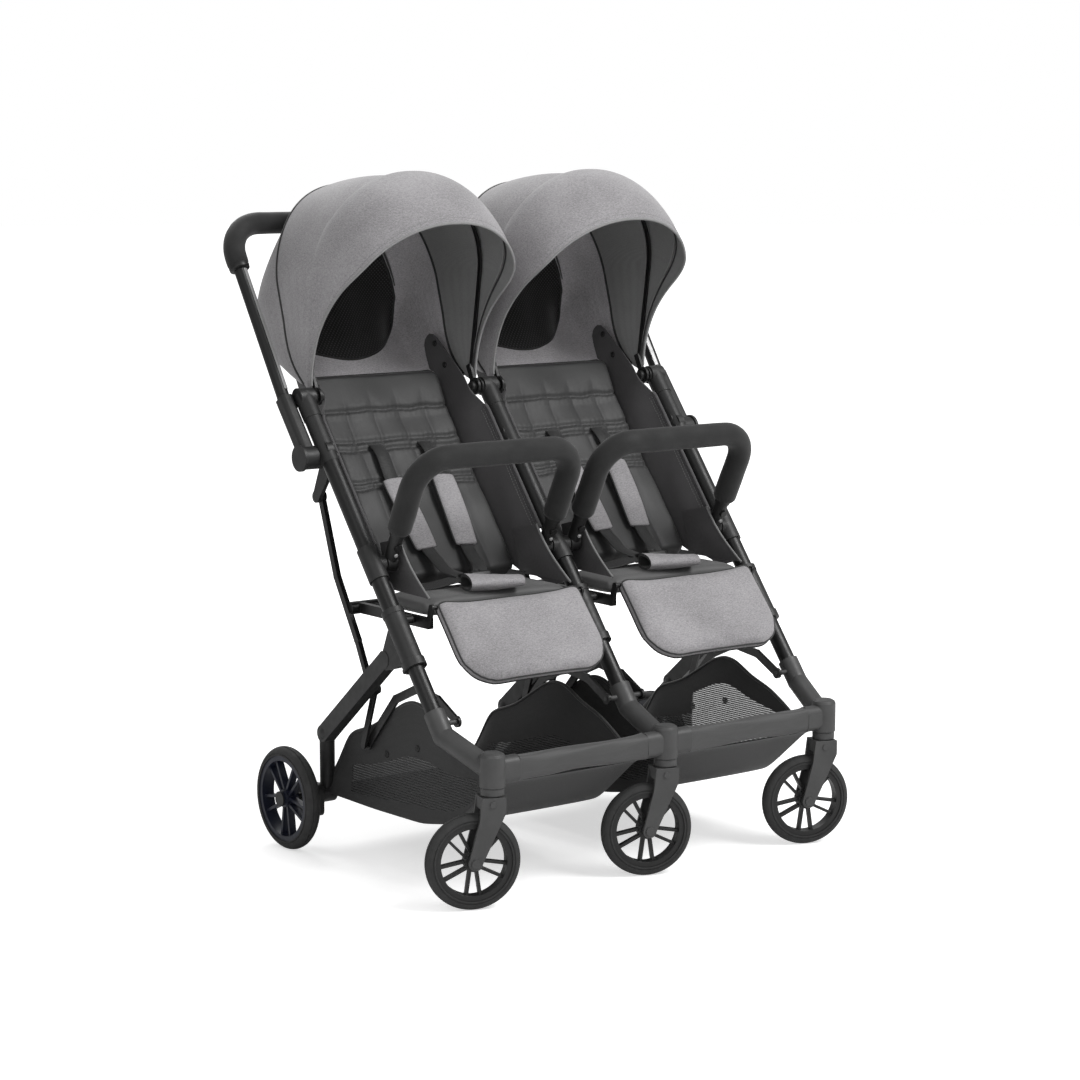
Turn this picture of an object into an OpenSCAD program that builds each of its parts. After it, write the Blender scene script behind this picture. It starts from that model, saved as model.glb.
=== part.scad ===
// Side by side double stroller, open for use, standing on the floor.
// Millimetres. X to the right as seen from the front, front faces -Y, Z up.
// Y = 0 is the line of the front swivel axes, X = 0 the middle leg, Z = 0 the floor.

/* [Frame] */
// distance from the middle frame side to the outer frame sides
side_x = 350; // [340:1:365]
// how far the front tubes lean back from upright, degrees
lean = 38; // [36:0.5:40]
// height of the slide rings on the front legs
ring_z = 336; // [328:1:346]
// distance of the slide rings behind the front swivel axes
ring_y = 160; // [154:1:168]
// outside diameter of the upper front tubes
tube_d = 27; // [26.4:0.2:28]
// bore of the upper front tubes
tube_bore = 22; // [21:0.5:23]
// outside diameter of the sliding lower legs
leg_d = 25.4; // [24:0.2:25.8]
// length of the sleeve that holds the upper tube and the lower leg
sleeve_len = 97; // [90:1:110]
// outside diameter of that sleeve
sleeve_d = 33; // [31:0.5:36]
// distance along the front tube from the slide ring to the canopy hub
hub_s = 482; // [470:1:495]
// travel of the lower legs into their sleeves
slide_len = 60; // [40:1:64]

/* [Rear legs] */
// distance of the rear leg bend behind the front swivel axes
bend_y = 402; // [392:1:412]
// height of the rear leg bend
bend_z = 196; // [188:1:206]
// depth of the flat rear leg bar in side view
bar_w = 26; // [22:1:30]
// thickness of the rear leg bar across the stroller
bar_t = 20; // [16:1:23]
// distance of the rear axle behind the front swivel axes
axle_y = 479; // [470:1:490]
// diameter of the rear axle tube
axle_d = 18; // [16:1:20]

/* [Wheels] */
// radius of the front wheels
front_r = 72; // [68:1:74]
// width of the front tyres
front_w = 24; // [20:1:26]
// radius of the rear wheels
rear_r = 82; // [76:1:88]
// width of the rear tyres
rear_w = 26; // [22:1:28]
// distance of the rear wheel centre plane outside the frame side
rear_out = 24; // [23:0.5:28]
// distance of the front swivels inside the frame side
caster_in = 24; // [18:1:30]
// distance of the front wheel centre from its swivel axis
trail = 30; // [26:1:32]
// angle the front wheels are turned to, degrees from straight
caster_turn = 69; // [0:1:90]
// height of the top of the caster housings
housing_top = 232; // [226:1:240]
// height of the bottom of the caster housings
housing_low = 180; // [178:1:186]
// diameter of the caster housings
housing_d = 38; // [34:1:42]

/* [Handle] */
// place of the handle pivot along the front tube
pivot_s = 383; // [376:1:392]
// lean of the handle arms from upright, degrees
handle_lean = 32.6; // [31:0.2:35]
// length from the handle elbow to the grip
handle_len = 311; // [295:1:325]
// diameter of the handle tube
handle_d = 20; // [18:0.5:21]
// diameter of the foam on the handle
grip_d = 35; // [30:1:38]

/* [Seats] */
// clear width of each backrest pad
back_w = 250; // [230:1:256]
// length of the backrest pad
back_len = 374; // [355:1:385]
// thickness of the backrest pad and its board
back_t = 28; // [22:1:34]
// distance of the backrest face behind the front tube line
back_v = 53; // [50:1:58]
// width of the seat and of the calf rest
seat_w = 288; // [270:1:292]
// length of the calf rest
calf_len = 148; // [130:1:156]
// thickness of the calf rest pad
calf_t = 24; // [18:1:28]
// slope of the calf rest below level, degrees
calf_tilt = 50; // [44:1:56]
// diameter of the foam on the bumper bars
bumper_d = 38; // [32:1:39]
// length of the bumper arms from pivot to bar
bumper_len = 185; // [170:1:200]
// lean of the bumper arms towards the front, degrees
bumper_lean = 27; // [20:1:32]

/* [Canopies] */
// half the width of the front canopy panel
hood_w = 157; // [152:1:159]
// radius of the canopy at its front edge
hood_r = 337; // [330:1:341]
// how far the front panel bulges above that radius
hood_rise = 25; // [12:1:32]
// angle from the middle bow forward to the front edge, degrees
hood_front = 24; // [18:1:28]
// how far the front edge hangs below that radius
hood_drop = 22; // [10:1:26]
// how far the back of the canopy hangs out as a bag
hood_bag = 76; // [40:1:80]
// thickness of the canopy cloth with its lining
hood_t = 2.4; // [2:0.1:3]

/* [Basket] */
// thickness of the basket cloth
basket_t = 3; // [2:0.5:4]
// height of the hump in the basket sides
hump_z = 270; // [255:1:280]

/* [Hidden] */
$fn = 48;
slip = 0.3;
run = 0.08;
seat = 0.02;
metal = [0.21, 0.21, 0.22];
moulded = [0.27, 0.27, 0.28];
foam = [0.20, 0.20, 0.21];
melange = [0.56, 0.55, 0.56];
dark = [0.27, 0.27, 0.28];
black = [0.08, 0.08, 0.085];
tyre = [0.24, 0.24, 0.245];
axle_z = rear_r;
caster_x = side_x - caster_in;
wheel_x = side_x + rear_out;
xc = side_x / 2;
tube_seat = 30;
tube_low = sleeve_len - tube_seat;
leg_low = -slide_len - 43;
socket_top = leg_low + 25;
pivot_v = 16;
arm_q = 25;
elbow_s = hub_s + 13;
sides = [-side_x, 0, side_x];
// each link layer: frame side and the direction from it towards a seat
layers = [[-side_x, 1], [0, -1], [0, 1], [side_x, -1]];
strut_q = 17.5;
rock_q = 22;
link_t = 4.6;
// the heads of the rear pivots lie between the rocker links and the arch links
head_q = rock_q + link_t + 0.4;
arch_q = head_q + 4.2;
link_end = arch_q + link_t + 0.8;
clamp_s = 178;
bump_q = 28;
seat_front = 178;
seat_rear = 301;
seat_z = 431;
calf_y = 165;
calf_z = 421;
calf_pin = 6;
rail_z = 396;
web = [leg_y(45, 54), leg_z(45, 54)];
bend = [bend_y, bend_z];
p4 = web + 0.424 * (bend - web);
k_s = leg_low + 6;
k_pt = [leg_y(k_s), leg_z(k_s)];
e_pt = [p4[0] + 33, p4[1] - 93];
p3 = [leg_y(349, 79), leg_z(349, 79)];
cross = [p4[0] + 60, rail_z];
hub = [leg_y(hub_s), leg_z(hub_s)];
elbow = [leg_y(elbow_s, pivot_v), leg_z(elbow_s, pivot_v)];
back_s = 172;
back_top = [leg_y(back_s + back_len - 1, back_v - 13), leg_z(back_s + back_len - 1, back_v - 13)];

function leg_y(s, v = 0) = ring_y + s * sin(lean) + v * cos(lean);
function leg_z(s, v = 0) = ring_z + s * cos(lean) - v * sin(lean);
function at(x, p) = [x, p[0], p[1]];

// Helpers

module rod(a, b, d) {
  v = b - a;
  l = norm(v);
  translate(a)
    rotate([0, acos(v[2] / l), atan2(v[1], v[0])])
      cylinder(h = l, d = d);
}

// a disc or pin across the stroller from x0 to x1 at the side view point p
module pin(x0, x1, p, d) {
  translate([min(x0, x1), p[0], p[1]])
    rotate([0, 90, 0])
      cylinder(h = abs(x1 - x0), d = d);
}

// a plate across the stroller from x0 to x1 with a side view outline
module plate(x0, x1) {
  translate([min(x0, x1), 0, 0])
    rotate([90, 0, 90])
      linear_extrude(abs(x1 - x0))
        children();
}

// a bar with round, slightly swollen ends in side view
module bar2(a, b, w) {
  v = b - a;
  translate(a)
    rotate(atan2(v[1], v[0]))
      translate([0, -w / 2])
        square([norm(v), w]);
  translate(a) circle(d = w + 0.8);
  translate(b) circle(d = w + 0.8);
}

// a square with rounded corners about the origin
module pill(w, h, r) {
  square([w - 2 * r, h], center = true);
  square([w, h - 2 * r], center = true);
  for (i = [-1, 1], j = [-1, 1])
    translate([i * (w / 2 - r), j * (h / 2 - r)])
      circle(r = r);
}

// local Z runs up the front tube, local Y square to it towards the back
module on_leg() {
  translate([0, ring_y, ring_z])
    rotate([-lean, 0, 0])
      children();
}

// a bent U: two legs up from z0, round corners, a bar across at height l
module u_bar(w, l, r, d, z0) {
  for (m = [0, 1])
    mirror([m, 0, 0]) {
      translate([w, 0, z0]) cylinder(h = l - r - z0, d = d);
      translate([w - r, 0, l - r])
        rotate([90, 0, 0])
          rotate_extrude(angle = 90)
            translate([r, 0]) circle(d = d);
    }
  translate([-(w - r), 0, l])
    rotate([0, 90, 0])
      cylinder(h = 2 * (w - r), d = d);
}

// Front tubes and rear legs

module front_tube(x) {
  color(metal) on_leg()
    translate([x, 0, tube_low])
      difference() {
        cylinder(h = hub_s - tube_low - 16, d = tube_d);
        translate([0, 0, -1])
          cylinder(h = hub_s, d = tube_bore);
      }
}

module front_tube_left() { front_tube(-side_x); }
module front_tube_centre() { front_tube(0); }
module front_tube_right() { front_tube(side_x); }

module rear_leg(x, foot) {
  ins = (x < 0) ? [1] : (x > 0) ? [-1] : [-1, 1];
  color(moulded) difference() {
    union() {
      on_leg() translate([x, 0, 0]) {
        cylinder(h = sleeve_len, d = sleeve_d);
        translate([0, 0, -2]) cylinder(h = 13, d = sleeve_d + 4);
        translate([0, 0, sleeve_len - 9]) cylinder(h = 9, d = sleeve_d + 2);
        translate([-9, sleeve_d / 2 + 1, 4])
          rotate([0, 90, 0])
            cylinder(h = 18, d = 9);
      }
      // gusset between the sleeve and the rear bar
      plate(x - 9, x + 9)
        polygon([
          [leg_y(72, 8), leg_z(72, 8)], [leg_y(74, 17), leg_z(74, 17)],
          [leg_y(50, 60), leg_z(50, 60)], web + [6, 8], web + [-4, -16],
          [leg_y(18, 33), leg_z(18, 33)], [leg_y(14, 12), leg_z(14, 12)]]);
      plate(x - bar_t / 2, x + bar_t / 2) bar2(web, bend, bar_w);
      translate(at(x, bend)) sphere(d = bar_w + 1);
      rod(at(x, bend), [foot, axle_y - 6, axle_z + 12], 24);
      pin(foot - 13, foot + 13, [axle_y, axle_z], axle_d + 14);
      for (d = ins) {
        pin(x, x + d * head_q, p4, 10);
        pin(x, x + d * 32, [leg_y(86), rail_z + 2], 11.6);
      }
    }
    on_leg() translate([x, 0, 0]) {
      translate([0, 0, tube_low]) cylinder(h = 200, d = tube_d + 2 * seat);
      translate([0, 0, -50]) cylinder(h = 200, d = leg_d + 2 * slip);
    }
    pin(foot - 60, foot + 60, [axle_y, axle_z], axle_d + 2 * seat);
  }
}

foot_x = side_x - 46;
module rear_leg_left() { rear_leg(-side_x, -foot_x); }
module rear_leg_centre() { rear_leg(0, 0); }
module rear_leg_right() { rear_leg(side_x, foot_x); }

module rear_axle() {
  color(metal) {
    pin(-side_x + 8, side_x - 8, [axle_y, axle_z], axle_d);
    for (m = [-1, 1]) {
      pin(m * (side_x - 9), m * (wheel_x + rear_w / 2 + 4), [axle_y, axle_z], 10);
      pin(m * (wheel_x + rear_w / 2 + 2), m * (wheel_x + rear_w / 2 + 4), [axle_y, axle_z], 24);
    }
  }
}

module brake_housings() {
  color(moulded) for (m = [-1, 1])
    difference() {
      translate([m * (side_x - 17), axle_y - 1, axle_z - 7])
        rotate([90, 0, 90])
          linear_extrude(22, center = true)
            pill(46, 52, 9);
      pin(m * (side_x - 60), m * side_x, [axle_y, axle_z], axle_d + 2 * seat);
    }
}

module brake_pedal() {
  px = side_x * 0.64;
  color(moulded) difference() {
    union() {
      pin(px - 17, px + 17, [axle_y, axle_z], axle_d + 9);
      plate(px - 7, px + 7) bar2([axle_y + 6, axle_z + 4], [axle_y + 44, axle_z + 10], 12);
      translate([px, axle_y + 42, axle_z + 11])
        rotate([4, 0, 0])
          linear_extrude(7, center = true)
            pill(62, 30, 8);
      for (i = [-2:2])
        translate([px + i * 11, axle_y + 42, axle_z + 15])
          rotate([86, 0, 0])
            cylinder(h = 22, d = 4, center = true);
    }
    pin(px - 50, px + 50, [axle_y, axle_z], axle_d + 2 * run);
  }
}

// Strut frame: four bent struts, the cross tube and four seat rails

module strut_frame() {
  knee = [leg_y(228, 120), leg_z(228, 120)];
  low = [p4[0] + 36, p4[1] + 72];
  color(metal) {
    for (l = layers) {
      x = l[0] + l[1] * strut_q;
      plate(x - 4, x + 4)
        difference() {
          union() {
            bar2(p4, low, 9);
            bar2(low, knee, 10.5);
            bar2(knee, p3, 10.5);
            translate(p4) circle(d = 20);
            translate(p3) circle(d = 18);
          }
          translate(p4) circle(d = 10 + 2 * seat);
          translate(p3) circle(d = 8 + 2 * seat);
        }
      r = l[0] + l[1] * 37;
      translate([r - 5, seat_front - 6, rail_z - 8])
        cube([10, cross[0] - seat_front + 6, 16]);
      // ear and pin that carry the calf rest
      plate(l[0] + l[1] * 32, l[0] + l[1] * 36)
        bar2([seat_front - 4, rail_z - 3], [calf_y, calf_z], 10);
      pin(l[0] + l[1] * 32, l[0] + l[1] * 54, [calf_y, calf_z], calf_pin);
    }
    pin(-side_x + strut_q, side_x - strut_q, cross, 20);
  }
}

// Joint housings: tube clamps with the canopy hubs, the strut ears and the handle ears

module joint_housing(x) {
  ins = (x < 0) ? [1] : (x > 0) ? [-1] : [-1, 1];
  out = (x < 0) ? -1 : 1;
  color(moulded) difference() {
    union() {
      on_leg() translate([x, 0, pivot_s - 22])
        cylinder(h = hub_s - pivot_s + 26, d = tube_d + 0.6);
      on_leg() translate([x, 0, hub_s - 40])
        cylinder(h = 44, d = tube_d + 3);
      pin(x - 13.4, x + 13.4, hub, 30);
      for (d = ins) {
        pin(x, x + d * 33, hub, 15);
        for (i = [0:4])
          pin(x + d * (17.6 + i * 1.4), x + d * (18.2 + i * 1.4), hub, 16);
        pin(x + d * 24.6, x + d * 32.4, hub, 16);
        pin(x, x + d * 17, hub, 24);
        plate(x + d * 6, x + d * 13)
          union() {
            bar2([leg_y(372), leg_z(372)], p3, 18);
            bar2([leg_y(392), leg_z(392)], p3, 16);
          }
        pin(x + d * 6, x + d * 22, p3, 8);
      }
      if (x != 0) {
        pin(x, x + out * 13.6, [leg_y(pivot_s, pivot_v), leg_z(pivot_s, pivot_v)], 36);
        plate(x - 6, x + 6)
          bar2([leg_y(pivot_s), leg_z(pivot_s)], [leg_y(pivot_s, pivot_v), leg_z(pivot_s, pivot_v)], 30);
        pin(x, x + out * 38, [leg_y(pivot_s, pivot_v), leg_z(pivot_s, pivot_v)], 12);
      }
    }
    on_leg() translate([x, 0, 0])
      cylinder(h = hub_s - 16, d = tube_d + 2 * seat);
  }
}

module joint_housings() {
  for (x = sides) joint_housing(x);
}

// round caps on the handle pivots and heads on the link pivots
module pivot_caps() {
  color(moulded) for (m = [-1, 1])
    difference() {
      pin(m * (side_x + 37.2), m * (side_x + 42), [leg_y(pivot_s, pivot_v), leg_z(pivot_s, pivot_v)], 41);
      pin(m * side_x, m * (side_x + 38), [leg_y(pivot_s, pivot_v), leg_z(pivot_s, pivot_v)], 12 + 2 * seat);
    }
  color(metal) for (l = layers)
    pin(l[0] + l[1] * head_q, l[0] + l[1] * (arch_q - 0.4), p4, 15);
}

// Handle

module in_handle() {
  translate(at(0, elbow))
    rotate([-handle_lean, 0, 0])
      children();
}

grip_z = handle_len - 78;
trigger_x = 48;
trigger_y = 18;
module handle_tube() {
  color(metal) in_handle() {
    u_bar(side_x + arm_q, handle_len, 62, handle_d, 0);
    for (m = [-1, 1])
      translate([m * (side_x + arm_q), 0, 0]) sphere(d = handle_d + 0.6);
  }
  color(metal) on_leg() for (m = [-1, 1])
    translate([m * (side_x + arm_q), pivot_v, elbow_s - 22])
      cylinder(h = 22, d = handle_d);
}

module handle_grip() {
  color(foam) in_handle()
    difference() {
      u_bar(side_x + arm_q, handle_len, 62, grip_d, grip_z);
      u_bar(side_x + arm_q, handle_len, 62, handle_d + 2 * seat, grip_z - 5);
      // slot for the fold trigger under the middle of the bar
      translate([-trigger_x / 2, -trigger_y / 2, handle_len - grip_d])
        cube([trigger_x, trigger_y, grip_d - handle_d / 2 - 2]);
    }
}

module handle_joints() {
  p = [leg_y(pivot_s, pivot_v), leg_z(pivot_s, pivot_v)];
  color(moulded) for (m = [-1, 1])
    difference() {
      union() {
        pin(m * (side_x + 14), m * (side_x + 36.8), p, 36);
        on_leg() translate([m * (side_x + arm_q), pivot_v, pivot_s])
          linear_extrude(elbow_s - pivot_s - 3)
            pill(22.4, 27, 8);
      }
      pin(m * side_x, m * (side_x + 60), p, 12 + 2 * run);
      on_leg() translate([m * (side_x + arm_q), pivot_v, elbow_s - 22])
        cylinder(h = 60, d = handle_d + 2 * seat);
    }
}

module fold_trigger() {
  color(black) in_handle()
    translate([0, 0, handle_len - grip_d / 2 - 3])
      rotate([90, 0, 0])
        linear_extrude(trigger_y - 2 * slip, center = true)
          pill(trigger_x - 2 * slip, 10, 4);
}

// Lower front legs, caster housings, crossbars

function swivel_x(x) = x == 0 ? 0 : (x < 0 ? -caster_x : caster_x);

module front_legs() {
  color(metal) for (x = sides)
    on_leg() translate([x, 0, leg_low]) {
      cylinder(h = 5 - leg_low, d = leg_d);
      cylinder(h = tube_low + 28 - leg_low, d = tube_bore - 2 * slip - 1);
    }
}

module caster_housing(x) {
  ins = (x < 0) ? [1] : (x > 0) ? [-1] : [-1, 1];
  sx = swivel_x(x);
  mid = (housing_top + housing_low) / 2;
  color(moulded) difference() {
    union() {
      on_leg() translate([x, 0, leg_low - 14])
        cylinder(h = socket_top - leg_low + 14, d = leg_d + 7);
      on_leg() translate([x, 0, leg_low - 14]) sphere(d = leg_d + 7.6);
      rod([x, leg_y(leg_low - 14), leg_z(leg_low - 14)], [sx, 3, mid - 1], leg_d + 7);
      // round body with a stepped, chamfered cap
      translate([sx, 0, housing_low])
        rotate_extrude()
          polygon([
            [0, 0], [housing_d / 2 - 1.5, 0], [housing_d / 2, 1.5],
            [housing_d / 2, housing_top - housing_low - 6],
            [housing_d / 2 - 1.6, housing_top - housing_low - 2.2],
            [housing_d / 2 - 5.5, housing_top - housing_low], [0, housing_top - housing_low]]);
      // wings that take the crossbars
      for (d = ins)
        plate(sx, sx + d * (housing_d / 2 + 24))
          translate([0, mid - 2]) pill(26, 40, 12);
      // pivot pins of the arch links
      for (d = ins)
        pin(x, x + d * link_end, k_pt, 8);
    }
    on_leg() translate([x, 0, leg_low])
      cylinder(h = 200, d = leg_d + 2 * seat);
    translate([sx, 0, housing_low - 1])
      cylinder(h = 41, d = 14 + 2 * run);
  }
}

module caster_housings() {
  for (x = sides) caster_housing(x);
}

module front_crossbars() {
  mid = (housing_top + housing_low) / 2;
  x0 = housing_d / 2 + 24;
  x1 = caster_x - housing_d / 2 - 24;
  color(dark) for (m = [-1, 1])
    difference() {
      plate(m * x0, m * x1)
        translate([0, mid - 2]) pill(25, 38, 11.5);
      // wrinkles of the cloth sleeve
      for (i = [1:5])
        translate([m * (x0 + (x1 - x0) * (i - 0.4) / 5.4), -13.8, mid + (i % 2) * 9 - 6])
          rotate([0, 74 + 9 * (i % 3), 0])
            cylinder(h = 34, d = 4, center = true);
    }
}

// Casters

module caster_place(x) {
  translate([swivel_x(x), 0, 0])
    rotate([0, 0, caster_turn])
      children();
}

module caster_fork(x) {
  aw = front_w / 2 + 2.5;
  color(moulded) caster_place(x) {
    translate([0, 0, housing_low - 30]) cylinder(h = 69, d = 14);
    translate([0, 0, housing_low - 10.3]) cylinder(h = 10, d = housing_d - 3);
    translate([0, 0, housing_low - 16]) cylinder(h = 8, d = housing_d - 8);
    translate([-aw - 5, -16, front_r + 78])
      cube([2 * aw + 10, 36, housing_low - 12 - front_r - 78]);
    for (m = [-1, 1]) {
      plate(m * aw, m * (aw + 5))
        union() {
          polygon([
            [-16, housing_low - 12], [20, housing_low - 12], [24, front_r + 62],
            [trail + 10, front_r + 2], [trail - 10, front_r - 2], [-4, front_r + 48],
            [-16, front_r + 74]]);
          translate([trail, front_r]) circle(d = 21);
        }
      pin(m * (aw + 5), m * (aw + 7.5), [trail, front_r], 13);
      pin(m * (aw + 5), m * (aw + 7), [4, housing_low - 22], 9);
    }
    pin(-aw - 1, aw + 1, [trail, front_r], 8);
  }
}

// a spoked wheel about the X axis: rim with paired spokes
module rim(r, w, pairs) {
  ri = r - 14;
  color(moulded) rotate([0, 90, 0]) {
    difference() {
      union() {
        difference() {
          cylinder(h = w - 4, r = ri, center = true);
          cylinder(h = w, r = ri - 8, center = true);
        }
        cylinder(h = w + 2, r = 11, center = true);
        cylinder(h = w - 6, r = 14, center = true);
        for (i = [0:pairs - 1], m = [-1, 1])
          rotate(i * 360 / pairs)
            translate([8, m * 4.5, 0])
              rotate(m * 8)
                translate([0, -2.2, -(w - 14) / 2])
                  cube([ri - 14, 4.4, w - 14]);
      }
      cylinder(h = 2 * w, d = 8 + 2 * run, center = true);
    }
  }
}

module tyre_ring(r, w) {
  c = w / 2;
  color(tyre) rotate([0, 90, 0])
    rotate_extrude($fn = 96)
      difference() {
        intersection() {
          translate([r - c, 0]) circle(r = c);
          translate([r - 14 + seat, -w]) square([r, 2 * w]);
        }
        for (m = [-1, 1])
          translate([r - 10.5, m * (c - 0.4)]) square([2.2, 1.6], center = true);
        for (i = [-1, 1])
          translate([r - 0.6, i * 4]) square([2, 1.6], center = true);
      }
}

module caster_wheel_place(x) {
  caster_place(x)
    translate([0, trail, front_r])
      children();
}

module caster_fork_left() { caster_fork(-1); }
module caster_fork_centre() { caster_fork(0); }
module caster_fork_right() { caster_fork(1); }
module caster_rim_left() { caster_wheel_place(-1) rim(front_r, front_w, 5); }
module caster_rim_centre() { caster_wheel_place(0) rim(front_r, front_w, 5); }
module caster_rim_right() { caster_wheel_place(1) rim(front_r, front_w, 5); }
module caster_tyre_left() { caster_wheel_place(-1) tyre_ring(front_r, front_w); }
module caster_tyre_centre() { caster_wheel_place(0) tyre_ring(front_r, front_w); }
module caster_tyre_right() { caster_wheel_place(1) tyre_ring(front_r, front_w); }

module rear_rim(m) {
  translate([m * wheel_x, axle_y, axle_z])
    difference() {
      rim(rear_r, rear_w, 5);
      rotate([0, 90, 0]) cylinder(h = 90, d = 10 + 2 * run, center = true);
    }
}
module rear_rim_left() { rear_rim(-1); }
module rear_rim_right() { rear_rim(1); }
module rear_tyre_left() { translate([-wheel_x, axle_y, axle_z]) tyre_ring(rear_r, rear_w); }
module rear_tyre_right() { translate([wheel_x, axle_y, axle_z]) tyre_ring(rear_r, rear_w); }

// Links between the lower front legs and the rear legs

module arch_links() {
  top = [k_pt[0] + 105, p4[1] + 14];
  color(metal) for (l = layers)
    plate(l[0] + l[1] * arch_q, l[0] + l[1] * (arch_q + link_t))
      difference() {
        union() {
          bar2(k_pt, [k_pt[0] + 48, k_pt[1] + 25], 13);
          bar2([k_pt[0] + 48, k_pt[1] + 25], top, 13);
          bar2(top, [top[0] + 55, top[1] - 24], 13);
          bar2([top[0] + 55, top[1] - 24], e_pt, 13);
          translate(k_pt) circle(d = 17);
          translate(e_pt) circle(d = 17);
        }
        translate(k_pt) circle(d = 8 + 2 * run);
        translate(e_pt) circle(d = 10);
      }
}

module rocker_links() {
  color(metal) for (l = layers) {
    plate(l[0] + l[1] * rock_q, l[0] + l[1] * (rock_q + link_t))
      difference() {
        union() {
          bar2(p4, e_pt, 11);
          translate(p4) circle(d = 18);
        }
        translate(p4) circle(d = 10 + 2 * run);
      }
    pin(l[0] + l[1] * (rock_q + 2), l[0] + l[1] * link_end, e_pt, 7);
  }
}

// Bumper bars

bump = [leg_y(clamp_s, -2), leg_z(clamp_s, -2)];
bump_w = xc - bump_q;

module bumper_mounts() {
  color(moulded) for (x = sides) {
    ins = (x < 0) ? [1] : (x > 0) ? [-1] : [-1, 1];
    difference() {
      union() {
        on_leg() translate([x, 0, clamp_s - 28])
          cylinder(h = 56, d = tube_d + 5);
        for (d = ins) {
          pin(x, x + d * 16.6, bump, 26);
          pin(x, x + d * 38, bump, 12);
        }
      }
      on_leg() translate([x, 0, clamp_s - 60])
        cylinder(h = 120, d = tube_d + 2 * seat);
    }
  }
}

module in_bumper(m) {
  translate([m * xc, bump[0], bump[1]])
    rotate([bumper_lean, 0, 0])
      children();
}

module bumper_bar(m) {
  color(black) in_bumper(m)
    difference() {
      union() {
        u_bar(bump_w, bumper_len, 52, 18, 10);
        for (i = [-1, 1]) {
          translate([i * bump_w, 0, 0])
            rotate([0, 90, 0])
              cylinder(h = 18, d = 26, center = true);
          translate([i * bump_w, 0, 8]) cylinder(h = 44, d = 21.6);
          translate([i * bump_w, 0, 50]) cylinder(h = 7, d = 25);
        }
      }
      for (i = [-1, 1]) {
        translate([i * bump_w, 0, 0])
          rotate([0, 90, 0])
            cylinder(h = 60, d = 12 + 2 * run, center = true);
        // pockets of the release buttons
        translate([i * bump_w, -12, 34])
          rotate([90, 0, 0])
            cylinder(h = 14, d = 12, center = true);
      }
    }
}

module bumper_grip(m) {
  color(foam) in_bumper(m)
    difference() {
      u_bar(bump_w, bumper_len, 52, bumper_d, 57);
      u_bar(bump_w, bumper_len, 52, 18 + 2 * seat, 40);
    }
}

module bumper_buttons(m) {
  color(moulded) in_bumper(m)
    for (i = [-1, 1])
      translate([i * bump_w, -8.4, 34])
        rotate([90, 0, 0])
          cylinder(h = 5, d = 11.4);
}

module bumper_bar_left() { bumper_bar(-1); }
module bumper_bar_right() { bumper_bar(1); }
module bumper_grip_left() { bumper_grip(-1); }
module bumper_grip_right() { bumper_grip(1); }
module bumper_buttons_left() { bumper_buttons(-1); }
module bumper_buttons_right() { bumper_buttons(1); }

// Seats

// side cloth of one seat, from a front tube back to the backrest edge
module side_cloth(d) {
  e = side_x / 2 - tube_d / 2 - 4.2;
  w = back_w / 2 + 1.45 + slip;
  a = atan2(e - w, back_v + 14);
  l = norm([e - w, back_v + 14]);
  low = sleeve_len + 15;
  high = hub_s - 42;
  on_leg() difference() {
    union() {
      translate([d * e, 0, 0])
        rotate([0, 0, d * a])
          translate([-1.5, 0, 0])
            rotate([90, 0, 90])
              linear_extrude(3)
                polygon([
                  [0, low], [0, high], [l * 0.5, high + 30], [l * 0.48, hub_s + 14],
                  [l * 0.44, hub_s + 60], [l * 0.44, hub_s + 94], [l * 0.5, hub_s + 106],
                  [l * 0.6, hub_s + 108], [l * 0.72, hub_s + 98], [l * 0.84, hub_s + 74],
                  [l, hub_s + 30], [l, low + 78], [l * 0.55, low + 38], [l * 0.3, low + 6]]);
      translate([d * e, 0, low]) cylinder(h = high - low, d = 7.6);
    }
    // room for the bumper mount
    translate([d * e - 14, -20, clamp_s - 31]) cube([28, 38, 62]);
  }
}

module seat_hammock(m) {
  color(dark) translate([m * xc, 0, 0]) {
    difference() {
      union() {
        // seat base with a low crown and a rolled front edge
        intersection() {
          translate([-seat_w / 2, seat_front, rail_z + 8])
            cube([seat_w, seat_rear - seat_front, 60]);
          translate([0, 0, seat_z - 1400])
            rotate([-90, 0, 0])
              cylinder(h = 900, r = 1400, $fn = 200);
          union() {
            translate([-200, seat_front + 12, 0]) cube([400, 400, 600]);
            translate([0, seat_front + 12, seat_z - 14])
              rotate([0, 90, 0])
                cylinder(h = 500, d = 24, center = true);
            translate([-200, seat_front, 0]) cube([400, 30, seat_z - 14]);
          }
        }
        // hem that ties the side cloth to the base
        for (d = [-1, 1])
          translate([d * (seat_w / 2 - 1), seat_rear - 60, rail_z + 8])
            rotate([0, d * 12, 0])
              translate([-3, 0, 0])
                cube([6, 58, 46]);
      }
      // the cloth is cut round the front tubes and their sleeves
      for (d = [-1, 1])
        on_leg() translate([d * side_x / 2, 0, 0])
          cylinder(h = hub_s, d = sleeve_d + 2 + 2 * slip);
    }
    for (d = [-1, 1]) side_cloth(d);
  }
}

module seat_hammock_left() { seat_hammock(-1); }
module seat_hammock_right() { seat_hammock(1); }

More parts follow.
